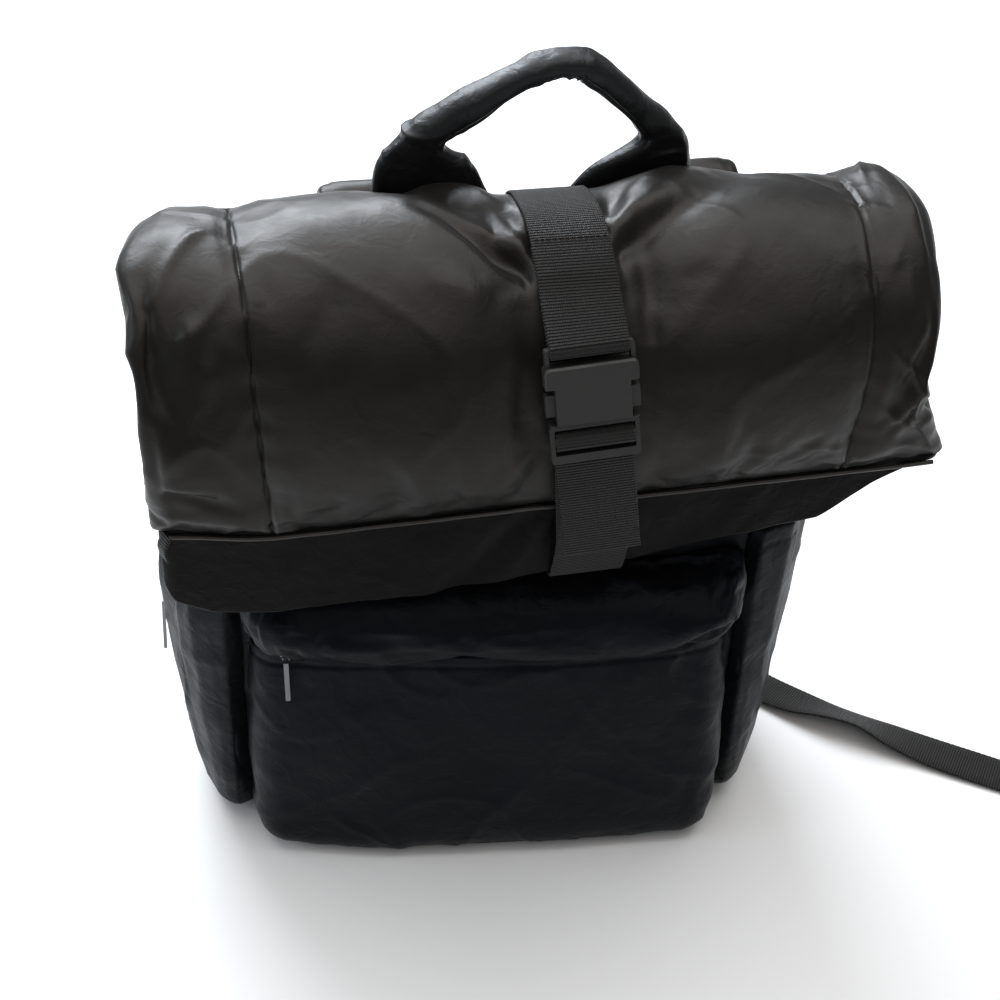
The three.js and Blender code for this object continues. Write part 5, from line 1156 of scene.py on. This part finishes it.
LEFT_TAPE = [
    [-120.4, 64.2, 18.0, -0.96, 0.00, 0.29, 25],
    [-116.2, 65.3, 32.0, -0.96, 0.00, 0.29, 25],
    [-103.2, 70.2, 74.7, -0.96, 0.00, 0.29, 25],
    [-100.5, 74.6, 83.6, -0.96, 0.00, 0.29, 25],
    [-98.6, 76.7, 90.0, -0.96, 0.00, 0.29, 25],
    [-96.2, 78.3, 97.7, -0.96, 0.00, 0.29, 25],
    [-96.0, 78.9, 98.5, -0.96, 0.00, 0.29, 25],
    [-95.9, 79.9, 98.7, -0.96, 0.00, 0.29, 25],
    [-96.2, 83.8, 97.9, -0.96, 0.00, 0.29, 25],
    [-96.3, 84.6, 97.4, -0.96, 0.00, 0.29, 25],
    [-96.6, 84.8, 96.4, -0.96, 0.00, 0.29, 25],
    [-97.2, 84.4, 94.6, -0.96, 0.00, 0.29, 25],
    [-99.2, 82.9, 87.8, -0.96, 0.00, 0.29, 25],
    [-101.5, 81.3, 80.3, -0.96, 0.00, 0.29, 25],
    [-116.0, 93.0, 62.0, -0.96, 0.00, 0.29, 25],
    [-116.8, 93.6, 56.1, -0.96, 0.00, 0.29, 25],
    [-118.0, 94.3, 47.9, -0.96, 0.00, 0.29, 25],
    [-119.0, 95.0, 40.0, -0.96, 0.00, 0.29, 25],
    [-119.8, 95.4, 33.0, -0.96, 0.00, 0.29, 25],
    [-120.5, 95.8, 26.5, -0.96, 0.00, 0.29, 25],
    [-121.0, 96.0, 22.0, -0.96, 0.00, 0.29, 25],
]
RIGHT_TAPE = [
    [120.4, 64.2, 18.0, -0.96, -0.00, -0.29, 25],
    [116.2, 65.3, 32.0, -0.96, -0.00, -0.29, 25],
    [103.2, 70.2, 74.7, -0.96, -0.00, -0.29, 25],
    [100.5, 74.6, 83.6, -0.96, -0.00, -0.29, 25],
    [98.6, 76.7, 90.0, -0.96, -0.00, -0.29, 25],
    [96.2, 78.3, 97.7, -0.96, -0.00, -0.29, 25],
    [96.0, 78.9, 98.5, -0.96, -0.00, -0.29, 25],
    [95.9, 79.9, 98.7, -0.96, -0.00, -0.29, 25],
    [96.2, 83.8, 97.9, -0.96, -0.00, -0.29, 25],
    [96.3, 84.6, 97.4, -0.96, -0.00, -0.29, 25],
    [96.6, 84.8, 96.4, -0.96, -0.00, -0.29, 25],
    [97.2, 84.4, 94.6, -0.96, -0.00, -0.29, 25],
    [99.2, 82.9, 87.8, -0.96, -0.00, -0.29, 25],
    [101.5, 81.3, 80.3, -0.96, -0.00, -0.29, 25],
    [128.5, 88.7, 33.6, -0.96, -0.00, -0.29, 25],
    [143.9, 76.0, 11.3, -0.70, -0.71, 0.00, 25],
    [163.4, 56.6, 3.5, -0.71, -0.70, -0.01, 25],
    [181.9, 38.4, 2.8, 0.68, 0.73, -0.04, 25],
    [201.4, 22.6, 4.6, 0.59, 0.79, -0.15, 25],
    [220.1, 10.4, 7.4, 0.50, 0.75, -0.42, 25],
    [238.0, 0.4, 7.7, 0.39, 0.78, -0.48, 25],
    [255.9, -10.3, 5.3, 0.48, 0.84, -0.26, 25],
    [275.1, -21.3, 3.3, 0.47, 0.88, -0.08, 25],
    [296.6, -33.0, 2.7, 0.48, 0.88, -0.01, 25],
    [318.8, -44.4, 2.2, 0.44, 0.90, 0.00, 25],
    [340.9, -55.4, 1.6, 0.45, 0.89, 0.00, 25],
    [346.0, -58.0, 1.4, 0.45, 0.89, 0.00, 25],
]


def stitches(name, rows, at, thick):
    """A row of short threads across a strap, at a share of its rows."""
    row = row_at(np.asarray(rows, float), at)
    ahead = row_at(np.asarray(rows, float), at + 0.1)[:3] - row[:3]
    side = row[3:6] / np.linalg.norm(row[3:6])
    normal = np.cross(ahead, side)
    normal /= np.linalg.norm(normal)
    if normal[1] > 0:
        normal = -normal
    points, faces = [], []
    for k in np.arange(-16.5, 17, 3.0):
        path = [row[:3] + side * (k + d) + normal * (thick / 2 + h)
                for d, h in ((-1.2, -0.1), (-0.9, 0.22), (0, 0.32), (0.9, 0.22), (1.2, -0.1))]
        base = len(points)
        a = np.linspace(0, 2 * np.pi, 6, endpoint=False)
        up = np.cross(normal, side)
        for p in path:
            points += [p + 0.3 * (math.cos(v) * normal + math.sin(v) * up) for v in a]
        for r in range(4):
            faces += [(base + 6 * r + i, base + 6 * r + (i + 1) % 6, base + 6 * r + 6 + (i + 1) % 6,
                       base + 6 * r + 6 + i) for i in range(6)]
        faces += [tuple(base + i for i in range(6)), tuple(base + 24 + i for i in reversed(range(6)))]
    obj = new_object(name, points, faces)
    import bmesh
    bm = bmesh.new()
    bm.from_mesh(obj.data)
    bmesh.ops.recalc_face_normals(bm, faces=bm.faces)
    bm.to_mesh(obj.data)
    bm.free()
    finish_piece(obj, THREAD, slot="webbing")


def zip_teeth():
    low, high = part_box("front_zip")
    rim = POCKET_ROWS[-1][2] * POCKET_FRONT - POCKET_WALL / 2
    edge = 0.82 * POCKET_WIDTH / 2
    points, faces = [], []

    def block(at, size):
        base = len(points)
        for i in range(8):
            points.append([at[j] + size[j] / 2 * (1 if i >> j & 1 else -1) for j in range(3)])
        faces.extend(tuple(base + v for v in f) for f in
                     ((0, 2, 3, 1), (4, 5, 7, 6), (0, 1, 5, 4), (2, 6, 7, 3), (0, 4, 6, 2), (1, 3, 7, 5)))

    for x in np.arange(-edge + 1, edge - 0.5, 1.6):
        y = -rim - POCKET_BULGE * (1 - (x / edge) ** 2) * 0.9
        block((x, y - 0.45, POCKET_TOP + 1.3), (0.8, 1.7, 0.9))
        block((x + 0.8, y + 0.45, POCKET_TOP + 1.3), (0.8, 1.7, 0.9))
    obj = new_object("zip_teeth", points, faces)
    obj.data.shade_flat()
    finish_piece(obj, PLASTIC, slot="plastic")


padded_top()
padded_body()
mouth_cloth()
piping()
front_pocket()
baffle()
grab_handle()
shoulder("shoulder_pad_left", -1, "shoulder_strap_left")
shoulder("shoulder_pad_right", 1, "shoulder_strap_right")
side_pocket("side_pocket_cloth_left", "side_pocket_left", 101)
side_pocket("side_pocket_cloth_right", "side_pocket_right", 111)
webbing("closure_strap_upper", UPPER_WEB, WEB_THICK, "closure_webbing_upper")
webbing("closure_strap_lower", LOWER_WEB, WEB_THICK, "closure_webbing_lower")
webbing("tab_tape_left", LEFT_TAB, 1.6, "strap_tab_left")
webbing("tab_tape_right", RIGHT_TAB, 1.6, "strap_tab_right")
webbing("adjusting_tape_left", LEFT_TAPE, 1.6, "adjust_webbing_left")
webbing("adjusting_tape_right", RIGHT_TAPE, 1.6, "adjust_webbing_right")
stitches("strap_stitches", UPPER_WEB, 6.6, WEB_THICK)
zip_teeth()

# Solids whose own shape is right get rounded edges and better materials
for name, obj in NODES.items():
    if obj.hide_render:
        continue
    obj.data.materials.clear()
    obj.data.materials.append(METAL if "pull" in name else PLASTIC if name != "front_zip" else BAND)
    edges = obj.modifiers.new("Edges", "BEVEL")
    edges.width = 0.0005 if "pull" not in name else 0.0003
    edges.segments = 2
    edges.limit_method = "ANGLE"
    edges.angle_limit = math.radians(35)

bpy.context.view_layer.update()
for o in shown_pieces():
    if len(o.data.polygons) > 30000:
        print("PIECE", o.name, sum(len(f.vertices) - 2 for f in o.data.polygons))
